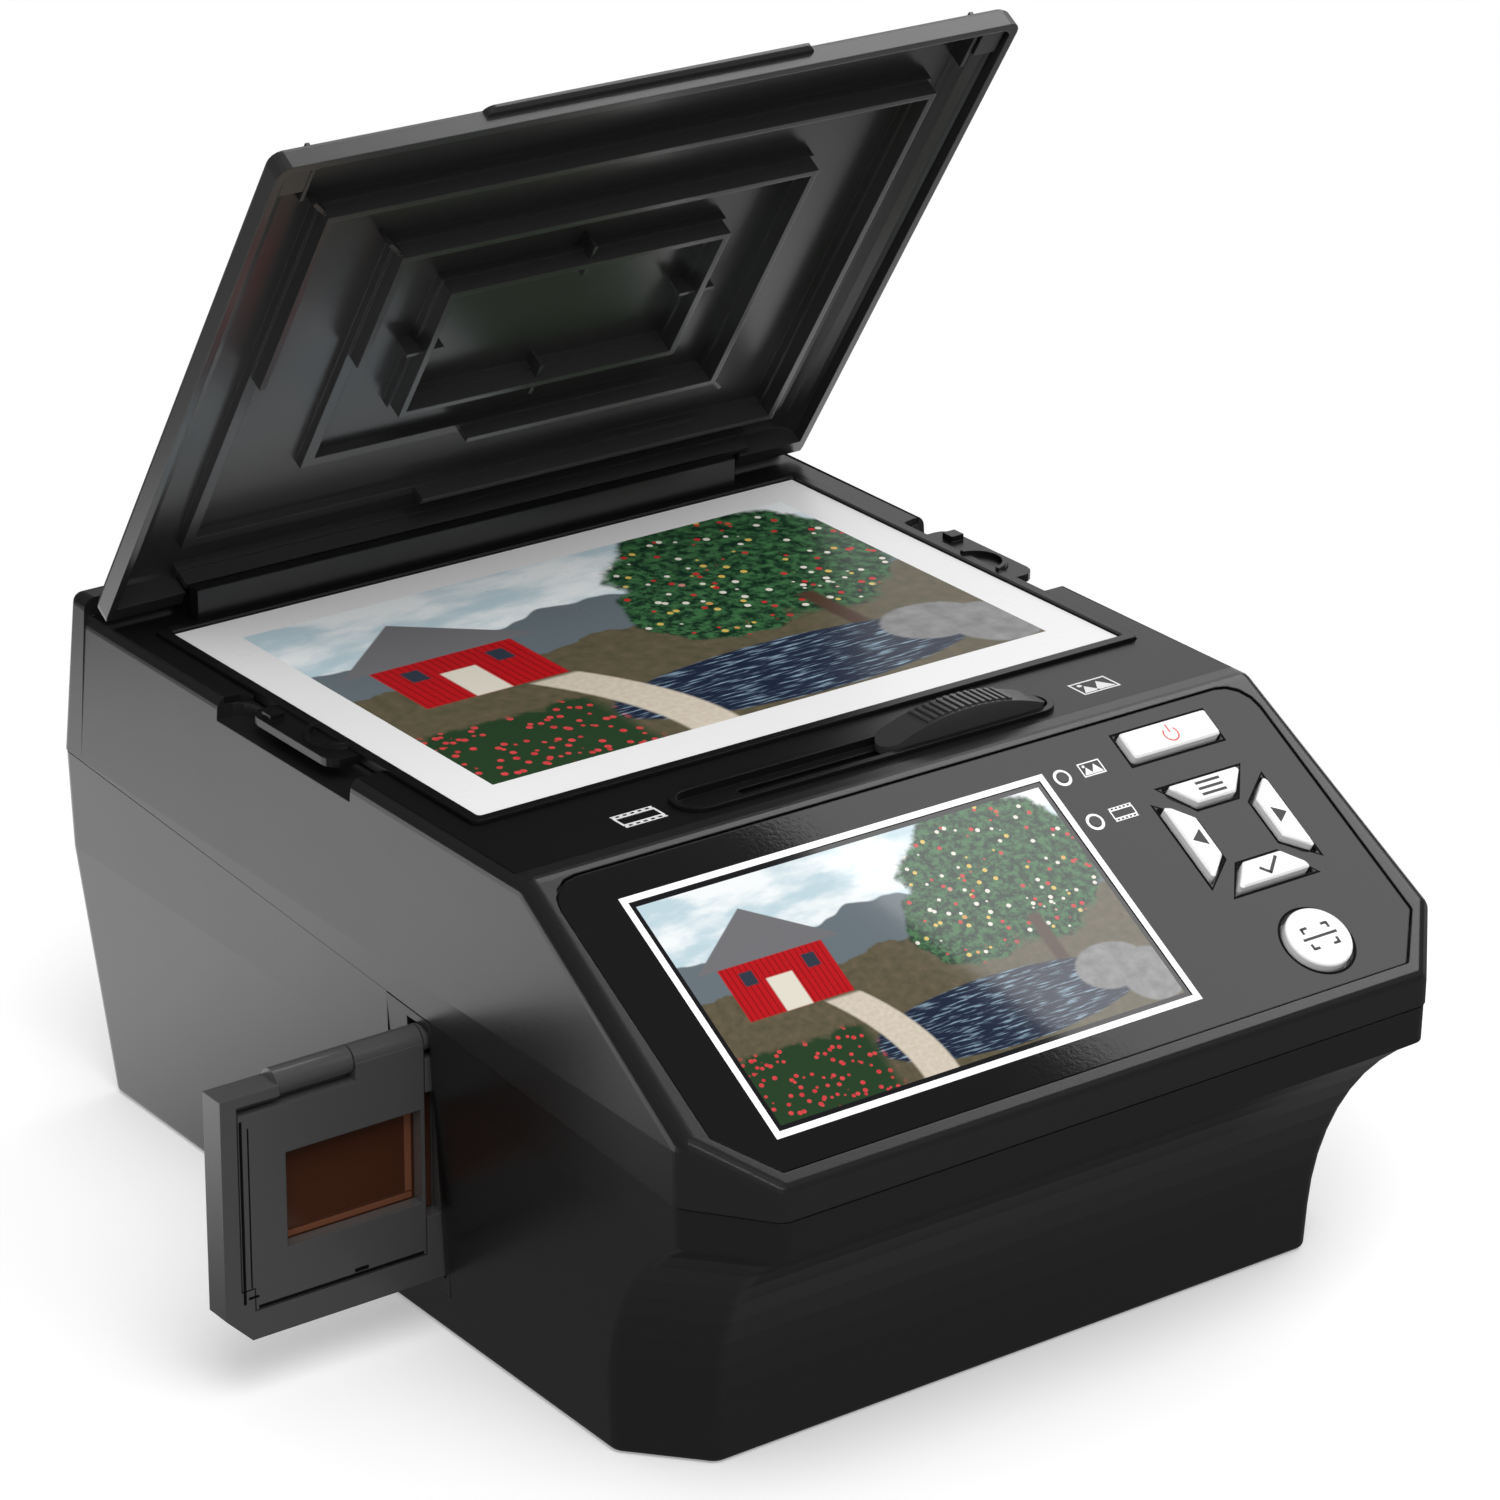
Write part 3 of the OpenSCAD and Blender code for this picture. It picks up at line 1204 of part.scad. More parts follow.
main_z = usb_z - usb_size[2] / 2 - 1.6;
module main_board() color([0.05, 0.3, 0.15]) {
    block([-58, rod_back_y + 7, main_z], [58, wall_y - wall - 2, main_z + 1.6]);
    for (x = [-52, 52]) for (y = [rod_back_y + 12, wall_y - wall - 8])
        translate([x, y, floor_z]) cylinder(h = main_z - floor_z + 0.5, r = 2.5);
    block([-12, rod_back_y + 14, main_z + 1.5], [6, rod_back_y + 32, main_z + 3.2]);
    block([14, rod_back_y + 14, main_z + 1.5], [24, rod_back_y + 26, main_z + 2.8]);
}

module usb_socket() color([0.7, 0.7, 0.72])
    translate([usb_x, 0, usb_z]) difference() {
        block([-usb_size[0] / 2, wall_y - wall - 6, -usb_size[2] / 2], [usb_size[0] / 2, wall_y - 0.6, usb_size[2] / 2]);
        block([-usb_size[0] / 2 + 0.4, wall_y - wall - 4, -usb_size[2] / 2 + 0.4],
            [usb_size[0] / 2 - 0.4, wall_y, usb_size[2] / 2 - 0.4]);
    }

module card_socket() color([0.6, 0.6, 0.62])
    translate([card_x, 0, usb_z]) difference() {
        block([-card_size[0] / 2, wall_y - card_size[1], -card_size[2] / 2], [card_size[0] / 2, wall_y - 0.6, card_size[2] / 2]);
        block([-card_size[0] / 2 + 0.9, wall_y - card_size[1] + 1.5, -card_size[2] / 2 + 0.5],
            [card_size[0] / 2 - 0.9, wall_y, card_size[2] / 2 - 0.5]);
    }

// ---- nodes ----

upper_shell();
lower_shell();
base_plate();
rubber_feet();
case_screws();
deck_plate();
photo_glass();
photo_tray();
sample_print();
lid();
hinge_pins();
slider_bezel();
slider_knob();
mirror_carriage();
carriage_mirror();
guide_rods();
rod_brackets();
control_panel();
screen_module();
indicator_lamps();
power_button();
menu_button();
enter_button();
left_button();
right_button();
scan_button();
button_board();
key_switches();
slot_bezel();
film_guide();
tray_base();
tray_cover();
tray_pin();
film_frame();
backlight_box();
backlight_diffuser();
relay_lens();
relay_holder();
fixed_mirror();
mirror_bracket();
camera_board();
camera_housing();
camera_lens();
photo_lights();
main_board();
usb_socket();
card_socket();
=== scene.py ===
"""Looks of a photo and film scanner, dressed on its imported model. Metres, Blender 4.5."""
import math

import bmesh
import bpy
from mathutils import Matrix, Vector


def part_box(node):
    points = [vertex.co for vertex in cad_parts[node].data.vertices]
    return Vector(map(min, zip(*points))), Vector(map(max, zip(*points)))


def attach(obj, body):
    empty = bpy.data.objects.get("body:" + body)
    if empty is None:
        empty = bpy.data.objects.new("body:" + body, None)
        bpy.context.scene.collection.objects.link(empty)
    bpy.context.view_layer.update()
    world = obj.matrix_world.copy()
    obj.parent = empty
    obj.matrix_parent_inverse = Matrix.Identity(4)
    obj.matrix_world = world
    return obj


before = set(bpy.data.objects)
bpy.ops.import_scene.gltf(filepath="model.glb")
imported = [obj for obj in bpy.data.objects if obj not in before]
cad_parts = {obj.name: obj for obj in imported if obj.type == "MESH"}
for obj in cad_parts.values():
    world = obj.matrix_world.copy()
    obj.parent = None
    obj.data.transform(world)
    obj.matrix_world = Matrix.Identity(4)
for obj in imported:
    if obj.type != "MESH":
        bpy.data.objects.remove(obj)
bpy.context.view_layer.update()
MM = 0.001


# ---- node building ----

class Tree:
    """Short calls for building a node tree."""

    def __init__(self, tree):
        self.tree = tree

    def node(self, kind, **settings):
        n = self.tree.nodes.new(kind)
        for key, value in settings.items():
            setattr(n, key, value)
        return n

    def feed(self, socket, value):
        """Link another socket to this one, or set its plain value."""
        if isinstance(value, bpy.types.NodeSocket):
            self.tree.links.new(value, socket)
        elif value is not None:
            socket.default_value = value

    def math(self, op, a, b=None, c=None, clamp=False):
        n = self.node("ShaderNodeMath", operation=op, use_clamp=clamp)
        for socket, value in zip(n.inputs, (a, b, c)):
            self.feed(socket, value)
        return n.outputs[0]

    def add(self, a, b):
        return self.math("ADD", a, b)

    def sub(self, a, b):
        return self.math("SUBTRACT", a, b)

    def mul(self, a, b):
        return self.math("MULTIPLY", a, b)

    def div(self, a, b):
        return self.math("DIVIDE", a, b)

    def vmath(self, op, a, b=None):
        n = self.node("ShaderNodeVectorMath", operation=op)
        self.feed(n.inputs[0], a)
        self.feed(n.inputs[1], b)
        return n.outputs["Value" if op in ("DOT_PRODUCT", "LENGTH") else "Vector"]

    def mix(self, fac, a, b):
        """Colour a where the factor is 0 and b where it is 1."""
        n = self.node("ShaderNodeMix", data_type="RGBA")
        self.feed(n.inputs["Factor"], fac)
        self.feed(n.inputs["A"], rgba(a))
        self.feed(n.inputs["B"], rgba(b))
        return n.outputs["Result"]

    def ramp(self, value, start, end):
        """0 before start and 1 past end, with a smooth rise; end may be the lower one."""
        n = self.node("ShaderNodeMapRange", interpolation_type="SMOOTHSTEP")
        for socket, v in zip(n.inputs, (value, start, end, 0.0, 1.0)):
            self.feed(socket, v)
        return n.outputs[0]

    def noise(self, vector, scale, detail=2.0, rough=0.5):
        n = self.node("ShaderNodeTexNoise")
        self.feed(n.inputs["Vector"], vector)
        self.feed(n.inputs["Scale"], scale)
        self.feed(n.inputs["Detail"], detail)
        self.feed(n.inputs["Roughness"], rough)
        return n.outputs["Fac"]

    def cells(self, vector, scale, output="Distance"):
        n = self.node("ShaderNodeTexVoronoi")
        self.feed(n.inputs["Vector"], vector)
        self.feed(n.inputs["Scale"], scale)
        return n.outputs[output]

    def xyz(self, vector):
        n = self.node("ShaderNodeSeparateXYZ")
        self.feed(n.inputs[0], vector)
        return n.outputs

    def vector(self, x, y, z=0.0):
        n = self.node("ShaderNodeCombineXYZ")
        for socket, v in zip(n.inputs, (x, y, z)):
            self.feed(socket, v)
        return n.outputs[0]

    def place(self):
        return self.node("ShaderNodeTexCoord").outputs["Object"]

    def shader(self, kind, value):
        """Output of a plain shader of one grey."""
        n = self.node(kind)
        n.inputs["Color"].default_value = rgba(grey(value))
        return n.outputs[0]

    def mix_shader(self, fac, a, b):
        n = self.node("ShaderNodeMixShader")
        for socket, v in zip(n.inputs, (fac, a, b)):
            self.feed(socket, v)
        return n.outputs[0]


def grey(value):
    return (value, value, value)


def rgba(colour):
    if isinstance(colour, bpy.types.NodeSocket):
        return colour
    return (*colour, 1.0)


def scaled(colour, factor):
    return tuple(min(c * factor, 1.0) for c in colour)


def group(name, inputs, outputs):
    """A shader node group with named sockets: name to (type, default) and name to type."""
    tree = bpy.data.node_groups.new(name, "ShaderNodeTree")
    for label, (kind, default) in inputs.items():
        socket = tree.interface.new_socket(label, in_out="INPUT", socket_type="NodeSocket" + kind)
        if default is not None:
            socket.default_value = default
    for label, kind in outputs.items():
        tree.interface.new_socket(label, in_out="OUTPUT", socket_type="NodeSocket" + kind)
    t = Tree(tree)
    return tree, t, t.node("NodeGroupInput").outputs, t.node("NodeGroupOutput").inputs


# ---- grain of moulded surfaces ----

def make_grain():
    """Fine texture of a moulded surface, with faint smudges in its gloss."""
    tree, t, given, out = group(
        "moulded_grain",
        {"Grain": ("Float", 1800.0), "Roughness": ("Float", 0.4), "Smudge": ("Float", 0.05)},
        {"Roughness": "Float", "Height": "Float", "Tone": "Float"})
    place = t.place()
    fine = t.noise(place, given["Grain"], detail=3.0, rough=0.6)
    broad = t.noise(place, scale=14.0, detail=4.0, rough=0.55)
    spots = t.noise(place, scale=90.0, detail=3.0, rough=0.5)
    sway = t.math("MULTIPLY_ADD", broad, 0.7, t.mul(spots, 0.3))
    shift = t.mul(t.sub(sway, 0.5), t.mul(given["Smudge"], 2.0))
    t.feed(out["Roughness"], t.math("ADD", given["Roughness"], shift, clamp=True))
    t.feed(out["Height"], fine)
    t.feed(out["Tone"], t.math("MULTIPLY_ADD", broad, 0.24, 0.88))
    return tree


# ---- garden picture, shown on the print and on the screen ----

CANVAS_WIDE = 1.6       # for a height of 1

SKY_BLUE = (0.50, 0.64, 0.70)
CLOUD = (0.86, 0.89, 0.90)
FAR_HILL = (0.13, 0.16, 0.18)
GRASS = (0.05, 0.055, 0.03)
EARTH = (0.17, 0.13, 0.08)
PLANK_GAP = (0.14, 0.004, 0.005)
BARN_RED = (0.46, 0.008, 0.012)
ROOF_GREY = (0.16, 0.16, 0.17)
DOOR_CREAM = (0.72, 0.68, 0.58)
PANE_DARK = (0.03, 0.04, 0.06)
LEAF_DARK = (0.006, 0.028, 0.014)
LEAF_GREEN = (0.05, 0.16, 0.06)
BLOSSOM_RED = (0.62, 0.02, 0.03)
BLOSSOM_CREAM = (0.85, 0.80, 0.72)
BLOSSOM_GOLD = (0.75, 0.52, 0.12)
BARK = (0.07, 0.035, 0.02)
WATER_DARK = (0.012, 0.020, 0.045)
WATER_GLINT = (0.25, 0.36, 0.45)
STONE_DARK = (0.08, 0.08, 0.085)
STONE_PALE = (0.36, 0.36, 0.36)
GRAVEL_DARK = (0.50, 0.42, 0.32)
GRAVEL_PALE = (0.72, 0.66, 0.56)
STALK = (0.02, 0.05, 0.02)
TULIP_DARK = (0.42, 0.008, 0.02)
TULIP_PALE = (0.80, 0.10, 0.10)


class Canvas:
    """Place on the picture, u across and v up, and masks of the forms painted on it."""

    def __init__(self, t, place):
        self.t = t
        self.place = place
        self.u, self.v, _ = t.xyz(place)
        self.wobble = t.mul(t.sub(t.noise(place, scale=7.0, detail=5.0, rough=0.6), 0.5), 0.16)

    def above(self, value, limit, soft=0.012):
        return self.t.ramp(value, limit - soft, limit + soft)

    def below(self, value, limit, soft):
        return self.t.ramp(value, limit + soft, limit - soft)

    def box(self, left, foot, right, top, soft=0.004):
        across = self.t.mul(self.above(self.u, left, soft), self.below(self.u, right, soft))
        up = self.t.mul(self.above(self.v, foot, soft), self.below(self.v, top, soft))
        return self.t.mul(across, up)

    def spot(self, u, v, wide, high, soft, ragged):
        """An oval about (u, v) with a ragged edge; wide and high are its half sizes."""
        t = self.t
        du = t.div(t.sub(self.u, u), wide)
        dv = t.div(t.sub(self.v, v), high)
        reach = t.math("SQRT", t.add(t.mul(du, du), t.mul(dv, dv)))
        return self.below(t.add(reach, t.mul(self.wobble, ragged)), 1.0, soft)


def paint_hills(t, c):
    """A cloudy sky over a far ridge and a brown meadow."""
    clouds = t.noise(t.vmath("MULTIPLY", c.place, (1.0, 2.2, 1.0)), scale=2.6, detail=5.0, rough=0.55)
    colour = t.mix(t.ramp(clouds, 0.40, 0.60), SKY_BLUE, CLOUD)
    far = t.add(c.v, t.mul(t.noise(t.vector(c.u, 0.0), scale=2.1, detail=3.0), -0.34))
    colour = t.mix(t.ramp(far, 0.55, 0.54), colour, FAR_HILL)
    near = t.add(c.v, t.mul(t.noise(t.vector(c.u, 3.0), scale=3.4, detail=4.0), -0.22))
    meadow = t.mix(t.noise(c.place, scale=30.0, detail=4.0), GRASS, EARTH)
    return t.mix(t.ramp(near, 0.44, 0.43), colour, meadow)


def paint_barn(t, c, colour):
    """A red barn with a grey roof, a pale door and two windows."""
    planks = t.math("PINGPONG", t.mul(c.u, 46.0), 0.5)
    red = t.mix(t.ramp(planks, 0.0, 0.12), PLANK_GAP, BARN_RED)
    colour = t.mix(c.box(left=0.12, foot=0.42, right=0.52, top=0.66), colour, red)
    slope = t.add(t.math("ABSOLUTE", t.sub(c.u, 0.32)), t.mul(c.v, 1.25))
    roof = t.mul(t.ramp(slope, 1.10, 1.09), c.above(c.v, 0.655, soft=0.003))
    colour = t.mix(roof, colour, ROOF_GREY)
    colour = t.mix(c.box(left=0.26, foot=0.42, right=0.36, top=0.57), colour, DOOR_CREAM)
    for left in (0.18, 0.42):
        colour = t.mix(c.box(left, foot=0.56, right=left + 0.05, top=0.62), colour, PANE_DARK)
    return colour


def paint_tree(t, c, colour):
    """A broad tree in blossom, with its trunk."""
    shade = t.ramp(t.noise(c.place, scale=34.0, detail=5.0, rough=0.7), 0.40, 0.62)
    leaves = t.mix(shade, LEAF_DARK, LEAF_GREEN)
    crown = t.math("MAXIMUM", c.spot(1.28, 0.72, wide=0.36, high=0.33, soft=0.05, ragged=3.0),
                   c.spot(1.02, 0.56, wide=0.20, high=0.20, soft=0.05, ragged=3.0))
    blossoms = 26.0
    dots = t.ramp(t.cells(c.place, blossoms), 0.26, 0.20)
    first, second, _ = t.xyz(t.cells(c.place, blossoms, "Color"))
    bloom = t.mix(c.above(first, 0.5), BLOSSOM_RED, BLOSSOM_CREAM)
    bloom = t.mix(c.above(second, 0.78), bloom, BLOSSOM_GOLD)
    leaves = t.mix(t.mul(dots, 0.9), leaves, bloom)
    colour = t.mix(crown, colour, leaves)
    return t.mix(c.box(left=1.25, foot=0.28, right=1.30, top=0.50, soft=0.01), colour, BARK)


def paint_pond(t, c, colour):
    """Dark water with glints that lie flat."""
    ripples = t.noise(t.vmath("MULTIPLY", c.place, (6.0, 60.0, 1.0)), scale=2.0, detail=3.0)
    water = t.mix(t.ramp(ripples, 0.5, 0.72), WATER_DARK, WATER_GLINT)
    return t.mix(c.spot(0.98, 0.16, wide=0.52, high=0.15, soft=0.03, ragged=0.5), colour, water)


def paint_boulders(t, c, colour):
    stone = t.mix(t.noise(c.place, scale=18.0, detail=5.0, rough=0.6), STONE_DARK, STONE_PALE)
    rocks = t.math("MAXIMUM", c.spot(1.42, 0.20, wide=0.14, high=0.10, soft=0.06, ragged=1.2),
                   c.spot(1.54, 0.12, wide=0.12, high=0.12, soft=0.06, ragged=1.2))
    return t.mix(rocks, colour, stone)


def paint_path(t, c, colour):
    """A gravel path that bends to the left as it goes back."""
    bend = t.math("MULTIPLY_ADD", t.mul(c.v, c.v), -0.9, 0.62)
    off = t.math("ABSOLUTE", t.sub(c.u, bend))
    lane = t.mul(t.ramp(off, 0.075, 0.06), t.ramp(c.v, 0.42, 0.40))
    gravel = t.mix(t.noise(c.place, scale=60.0, detail=3.0), GRAVEL_DARK, GRAVEL_PALE)
    return t.mix(lane, colour, gravel)


def paint_tulips(t, c, colour):
    """A bank of red tulips in the left corner."""
    petal = t.mix(t.noise(c.place, scale=40.0, detail=2.0), TULIP_DARK, TULIP_PALE)
    tulips = t.mix(t.ramp(t.cells(c.place, 34.0), 0.34, 0.26), STALK, petal)
    bank = t.mul(t.ramp(t.add(c.v, c.wobble), 0.30, 0.27), t.ramp(c.u, 0.50, 0.44))
    return t.mix(bank, colour, tulips)


def make_picture():
    tree, t, given, out = group("garden_picture", {"Canvas": ("Vector", None)}, {"Color": "Color"})
    c = Canvas(t, given["Canvas"])
    colour = paint_hills(t, c)
    for paint in (paint_barn, paint_tree, paint_pond, paint_boulders, paint_path, paint_tulips):
        colour = paint(t, c, colour)
    t.feed(out["Color"], colour)
    return tree


GRAIN = make_grain()
PICTURE = make_picture()


# ---- kinds of finish ----

GRAIN_HEIGHT = 0.1 * MM
ROUNDED = 0.4 * MM          # how far a moulded edge is rounded in the shading
ROUNDED_METAL = 0.2 * MM


def material(name):
    m = bpy.data.materials.new(name)
    m.use_nodes = True
    t = Tree(m.node_tree)
    m.node_tree.nodes.clear()
    bsdf = t.node("ShaderNodeBsdfPrincipled")
    t.feed(t.node("ShaderNodeOutputMaterial").inputs["Surface"], bsdf.outputs[0])
    return m, t, bsdf


def use_grain(t, bsdf, grain, rough, smudge, depth, soft_edge=0.0):
    """Gives a shader the moulded grain, and gives back the tone that varies over it."""
    g = t.node("ShaderNodeGroup", node_tree=GRAIN)
    g.inputs["Grain"].default_value = grain
    g.inputs["Roughness"].default_value = rough
    g.inputs["Smudge"].default_value = smudge
    t.feed(bsdf.inputs["Roughness"], g.outputs["Roughness"])
    bump = t.node("ShaderNodeBump")
    bump.inputs["Strength"].default_value = depth
    bump.inputs["Distance"].default_value = GRAIN_HEIGHT
    t.feed(bump.inputs["Height"], g.outputs["Height"])
    if soft_edge:
        edge = t.node("ShaderNodeBevel", samples=4)
        edge.inputs["Radius"].default_value = soft_edge
        t.feed(bump.inputs["Normal"], edge.outputs[0])
    t.feed(bsdf.inputs["Normal"], bump.outputs[0])
    return g.outputs["Tone"]


def plastic(name, colour, rough, grain=1800.0, smudge=0.05, depth=0.25, soft_edge=ROUNDED,
            specular=0.5, coat=0.0):
    m, t, bsdf = material(name)
    tone = use_grain(t, bsdf, grain, rough, smudge, depth, soft_edge)
    t.feed(bsdf.inputs["Base Color"], t.mix(tone, scaled(colour, 0.8), scaled(colour, 1.2)))
    bsdf.inputs["Specular IOR Level"].default_value = specular
    bsdf.inputs["Coat Weight"].default_value = coat
    bsdf.inputs["Coat Roughness"].default_value = min(rough, 0.2)
    return m


def ink(name, colour, rough=0.5):
    return plastic(name, colour, rough, grain=900.0, soft_edge=0.0)


def metal(name, colour, rough):
    m, t, bsdf = material(name)
    tone = use_grain(t, bsdf, grain=700.0, rough=rough, smudge=0.08, depth=0.15,
                     soft_edge=ROUNDED_METAL)
    t.feed(bsdf.inputs["Base Color"], t.mix(tone, scaled(colour, 0.8), colour))
    bsdf.inputs["Metallic"].default_value = 1.0
    return m


def clear_glass(name, colour):
    m, t, bsdf = material(name)
    tone = use_grain(t, bsdf, grain=400.0, rough=0.02, smudge=0.01, depth=0.02)
    t.feed(bsdf.inputs["Base Color"], t.mix(tone, colour, grey(1.0)))
    bsdf.inputs["Transmission Weight"].default_value = 1.0
    bsdf.inputs["IOR"].default_value = 1.5
    return m


# ---- places, in millimetres ----

# Control face: origin at the foot of the screen, x right, up the slope, h out of it
TILT = math.radians(30.0)
FACE = Vector((0.0, -132.23, 85.50))
UP = Vector((0.0, math.cos(TILT), math.sin(TILT)))
OUT = Vector((0.0, -math.sin(TILT), math.cos(TILT)))
DECK_TOP = 123.2

SCREEN_X = -25.1            # middle of the screen on the control face
SCREEN_WIDE = 114.0
SCREEN_HIGH = 65.2
SCREEN_LINE = 1.6           # width of the white line round it
SCREEN_MARGIN = 2.9         # from the outside of that line to the picture
SCREEN_SKIN = 0.5           # depth under the face in which the picture shows

PRINT_MARGIN_LEFT = 12.2
PRINT_MARGIN_FRONT = 13.0
PRINT_PICTURE_WIDE = 154.32
PRINT_PICTURE_DEEP = 103.3

RING_X, RING_UP = 68.4, 37.0            # middle of the ring of four keys
RING_HALF = 15.0                        # from there to the outer side of a key
KEY_DEPTH = 6.2
KEY_OUTER, KEY_INNER = 10.9, 5.4        # half lengths of a key's outer and inner side
KEY_MIDDLE = RING_HALF - KEY_DEPTH / 2
POWER_AT = (68.0, 64.9)
POWER_WIDE, POWER_HIGH = 25.0, 7.3
SCAN_AT = (68.2, 4.7)
SCAN_RADIUS = 8.0
KEY_RISE = 1.8                          # height of the keys over the control face
WELL_GAP = 0.7                          # from a key to the wall of its well
# width of the ring of painted shade round each key's well
WELL_SHADE_WIDE = 0.6
OUTER_SPREAD, INNER_SPREAD = 1.4, 0.6   # how fast the two sides of a rim get longer

LAMPS = ((36.1, 62.7), (36.4, 49.6))
PHOTO_LAMP_SIGN_AT = (44.6, 63.0)
FILM_LAMP_SIGN_AT = (44.6, 49.9)
FILM_SIGN_AT = (-60.7, -53.0)
PHOTO_SIGN_AT = (65.8, -52.6)

FILM_WINDOW_WIDE, FILM_WINDOW_HIGH = 34.5, 22.9

FLUSH = 0.02                # how far a mark starts above its surface
INK_THICK = 0.06
LINE_THICK = 0.04


def on_face(x, up, h):
    return (FACE + Vector((x, 0.0, 0.0)) + UP * up + OUT * h) * MM


def on_deck(x, y, h):
    return Vector((x, y, DECK_TOP + h)) * MM


def on_front_of(node):
    """Places on the front of a node of the film tray: x right, z up, h out of it."""
    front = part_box(node)[0][1]

    def place(x, z, h):
        return Vector((x * MM, front - h * MM, z * MM))
    return place


# ---- the print and the screen ----

def fitted_picture(t, across, up, left, foot, wide, high):
    """The garden picture in a rectangle of those sides, and the mask of that rectangle."""
    u = t.div(t.sub(across, left), wide / CANVAS_WIDE)
    v = t.div(t.sub(up, foot), high)
    picture = t.node("ShaderNodeGroup", node_tree=PICTURE)
    t.feed(picture.inputs["Canvas"], t.vector(u, v))

    def inside(value, limit):
        return t.mul(t.math("GREATER_THAN", value, 0.0), t.math("LESS_THAN", value, limit))
    return picture.outputs["Color"], t.mul(inside(u, CANVAS_WIDE), inside(v, 1.0))


def photo_paper():
    """White paper with the picture inside its border."""
    m, t, bsdf = material("photo_print")
    tone = use_grain(t, bsdf, grain=500.0, rough=0.28, smudge=0.04, depth=0.05)
    x, y, _ = t.xyz(t.place())
    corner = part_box("sample_print")[0]
    picture, mask = fitted_picture(
        t, x, y, left=corner[0] + PRINT_MARGIN_LEFT * MM, foot=corner[1] + PRINT_MARGIN_FRONT * MM,
        wide=PRINT_PICTURE_WIDE * MM, high=PRINT_PICTURE_DEEP * MM)
    paper = t.mix(tone, grey(0.73), grey(0.80))
    t.feed(bsdf.inputs["Base Color"], t.mix(mask, paper, picture))
    bsdf.inputs["Specular IOR Level"].default_value = 0.25
    return m


def lit_screen():
    """Glossy black glass with the picture glowing through it."""
    m, t, bsdf = material("screen")
    use_grain(t, bsdf, grain=300.0, rough=0.05, smudge=0.02, depth=0.02)
    from_foot = t.vmath("SUBTRACT", t.place(), tuple(FACE * MM))
    x, _, _ = t.xyz(from_foot)
    up = t.vmath("DOT_PRODUCT", from_foot, tuple(UP))
    out = t.vmath("DOT_PRODUCT", from_foot, tuple(OUT))
    picture, mask = fitted_picture(
        t, x, up, left=(SCREEN_X - SCREEN_WIDE / 2 + SCREEN_MARGIN) * MM, foot=SCREEN_MARGIN * MM,
        wide=(SCREEN_WIDE - 2 * SCREEN_MARGIN) * MM, high=(SCREEN_HIGH - 2 * SCREEN_MARGIN) * MM)
    mask = t.mul(mask, t.math("GREATER_THAN", out, -SCREEN_SKIN * MM))
    shown = t.mix(mask, (0.01, 0.01, 0.012), picture)
    t.feed(bsdf.inputs["Base Color"], t.mix(0.5, shown, grey(0.0)))
    t.feed(bsdf.inputs["Emission Color"], shown)
    bsdf.inputs["Emission Strength"].default_value = 0.5
    bsdf.inputs["Coat Weight"].default_value = 0.6
    bsdf.inputs["Coat Roughness"].default_value = 0.03
    return m


# ---- finishes of the pieces ----

SHELL = plastic("satin_shell", grey(0.010), 0.30, specular=0.9, coat=0.3)
SHELL_LOW = plastic("satin_shell_low", grey(0.006), 0.30, specular=0.9, coat=0.3)
LID = plastic("satin_lid", grey(0.020), 0.30, specular=1.0, coat=0.5)
DECK = plastic("gloss_deck", grey(0.005), 0.30, grain=900.0, smudge=0.03, depth=0.1, specular=0.7)
PANEL = plastic("gloss_panel", grey(0.007), 0.05, grain=900.0, smudge=0.02, depth=0.05)
BLACK = plastic("black_trim", grey(0.014), 0.33, specular=0.8, coat=0.3)
KNOB = plastic("black_knob", grey(0.030), 0.30, specular=1.0, coat=0.6)
WHITE = plastic("white_key", grey(0.78), 0.35, grain=1500.0, smudge=0.04, depth=0.1)
TRAY = plastic("grey_tray", grey(0.060), 0.26, grain=1400.0, specular=1.0, coat=0.6)
INNER = plastic("grey_inner", (0.05, 0.05, 0.055), 0.5)
RUBBER = plastic("rubber", grey(0.02), 0.75, grain=1200.0, depth=0.5)
BOARD = plastic("green_board", (0.01, 0.09, 0.03), 0.35, grain=600.0)
BRIGHT = plastic("white_inner", (0.80, 0.80, 0.78), 0.5)
WHITE_INK = ink("white_ink", grey(0.78), rough=0.45)
GREY_INK = ink("grey_ink", grey(0.60))
DARK_INK = ink("dark_ink", grey(0.05))
ROSE_INK = ink("rose_ink", (0.60, 0.10, 0.09))
# near black and dull, for painted shade: in the wells round the keys and in the grooves of the film cover
PAINTED_SHADE = plastic("painted_shade", grey(0.004), 0.6, specular=0.1, soft_edge=0.0)
STEEL = metal("steel", (0.62, 0.62, 0.64), 0.3)
MIRROR = metal("mirror", (0.92, 0.93, 0.94), 0.03)
GLASS = clear_glass("glass", (0.94, 0.97, 0.96))
AMBER = plastic("amber_film", (0.050, 0.015, 0.006), 0.12, grain=300.0, smudge=0.03, depth=0.03,
                specular=0.6, coat=0.8)
# a lighter amber, for the painted highlights along the film's edges
AMBER_HIGHLIGHT = plastic("amber_highlight", (0.150, 0.055, 0.028), 0.15, grain=300.0, smudge=0.03,
                     depth=0.03, coat=0.6)

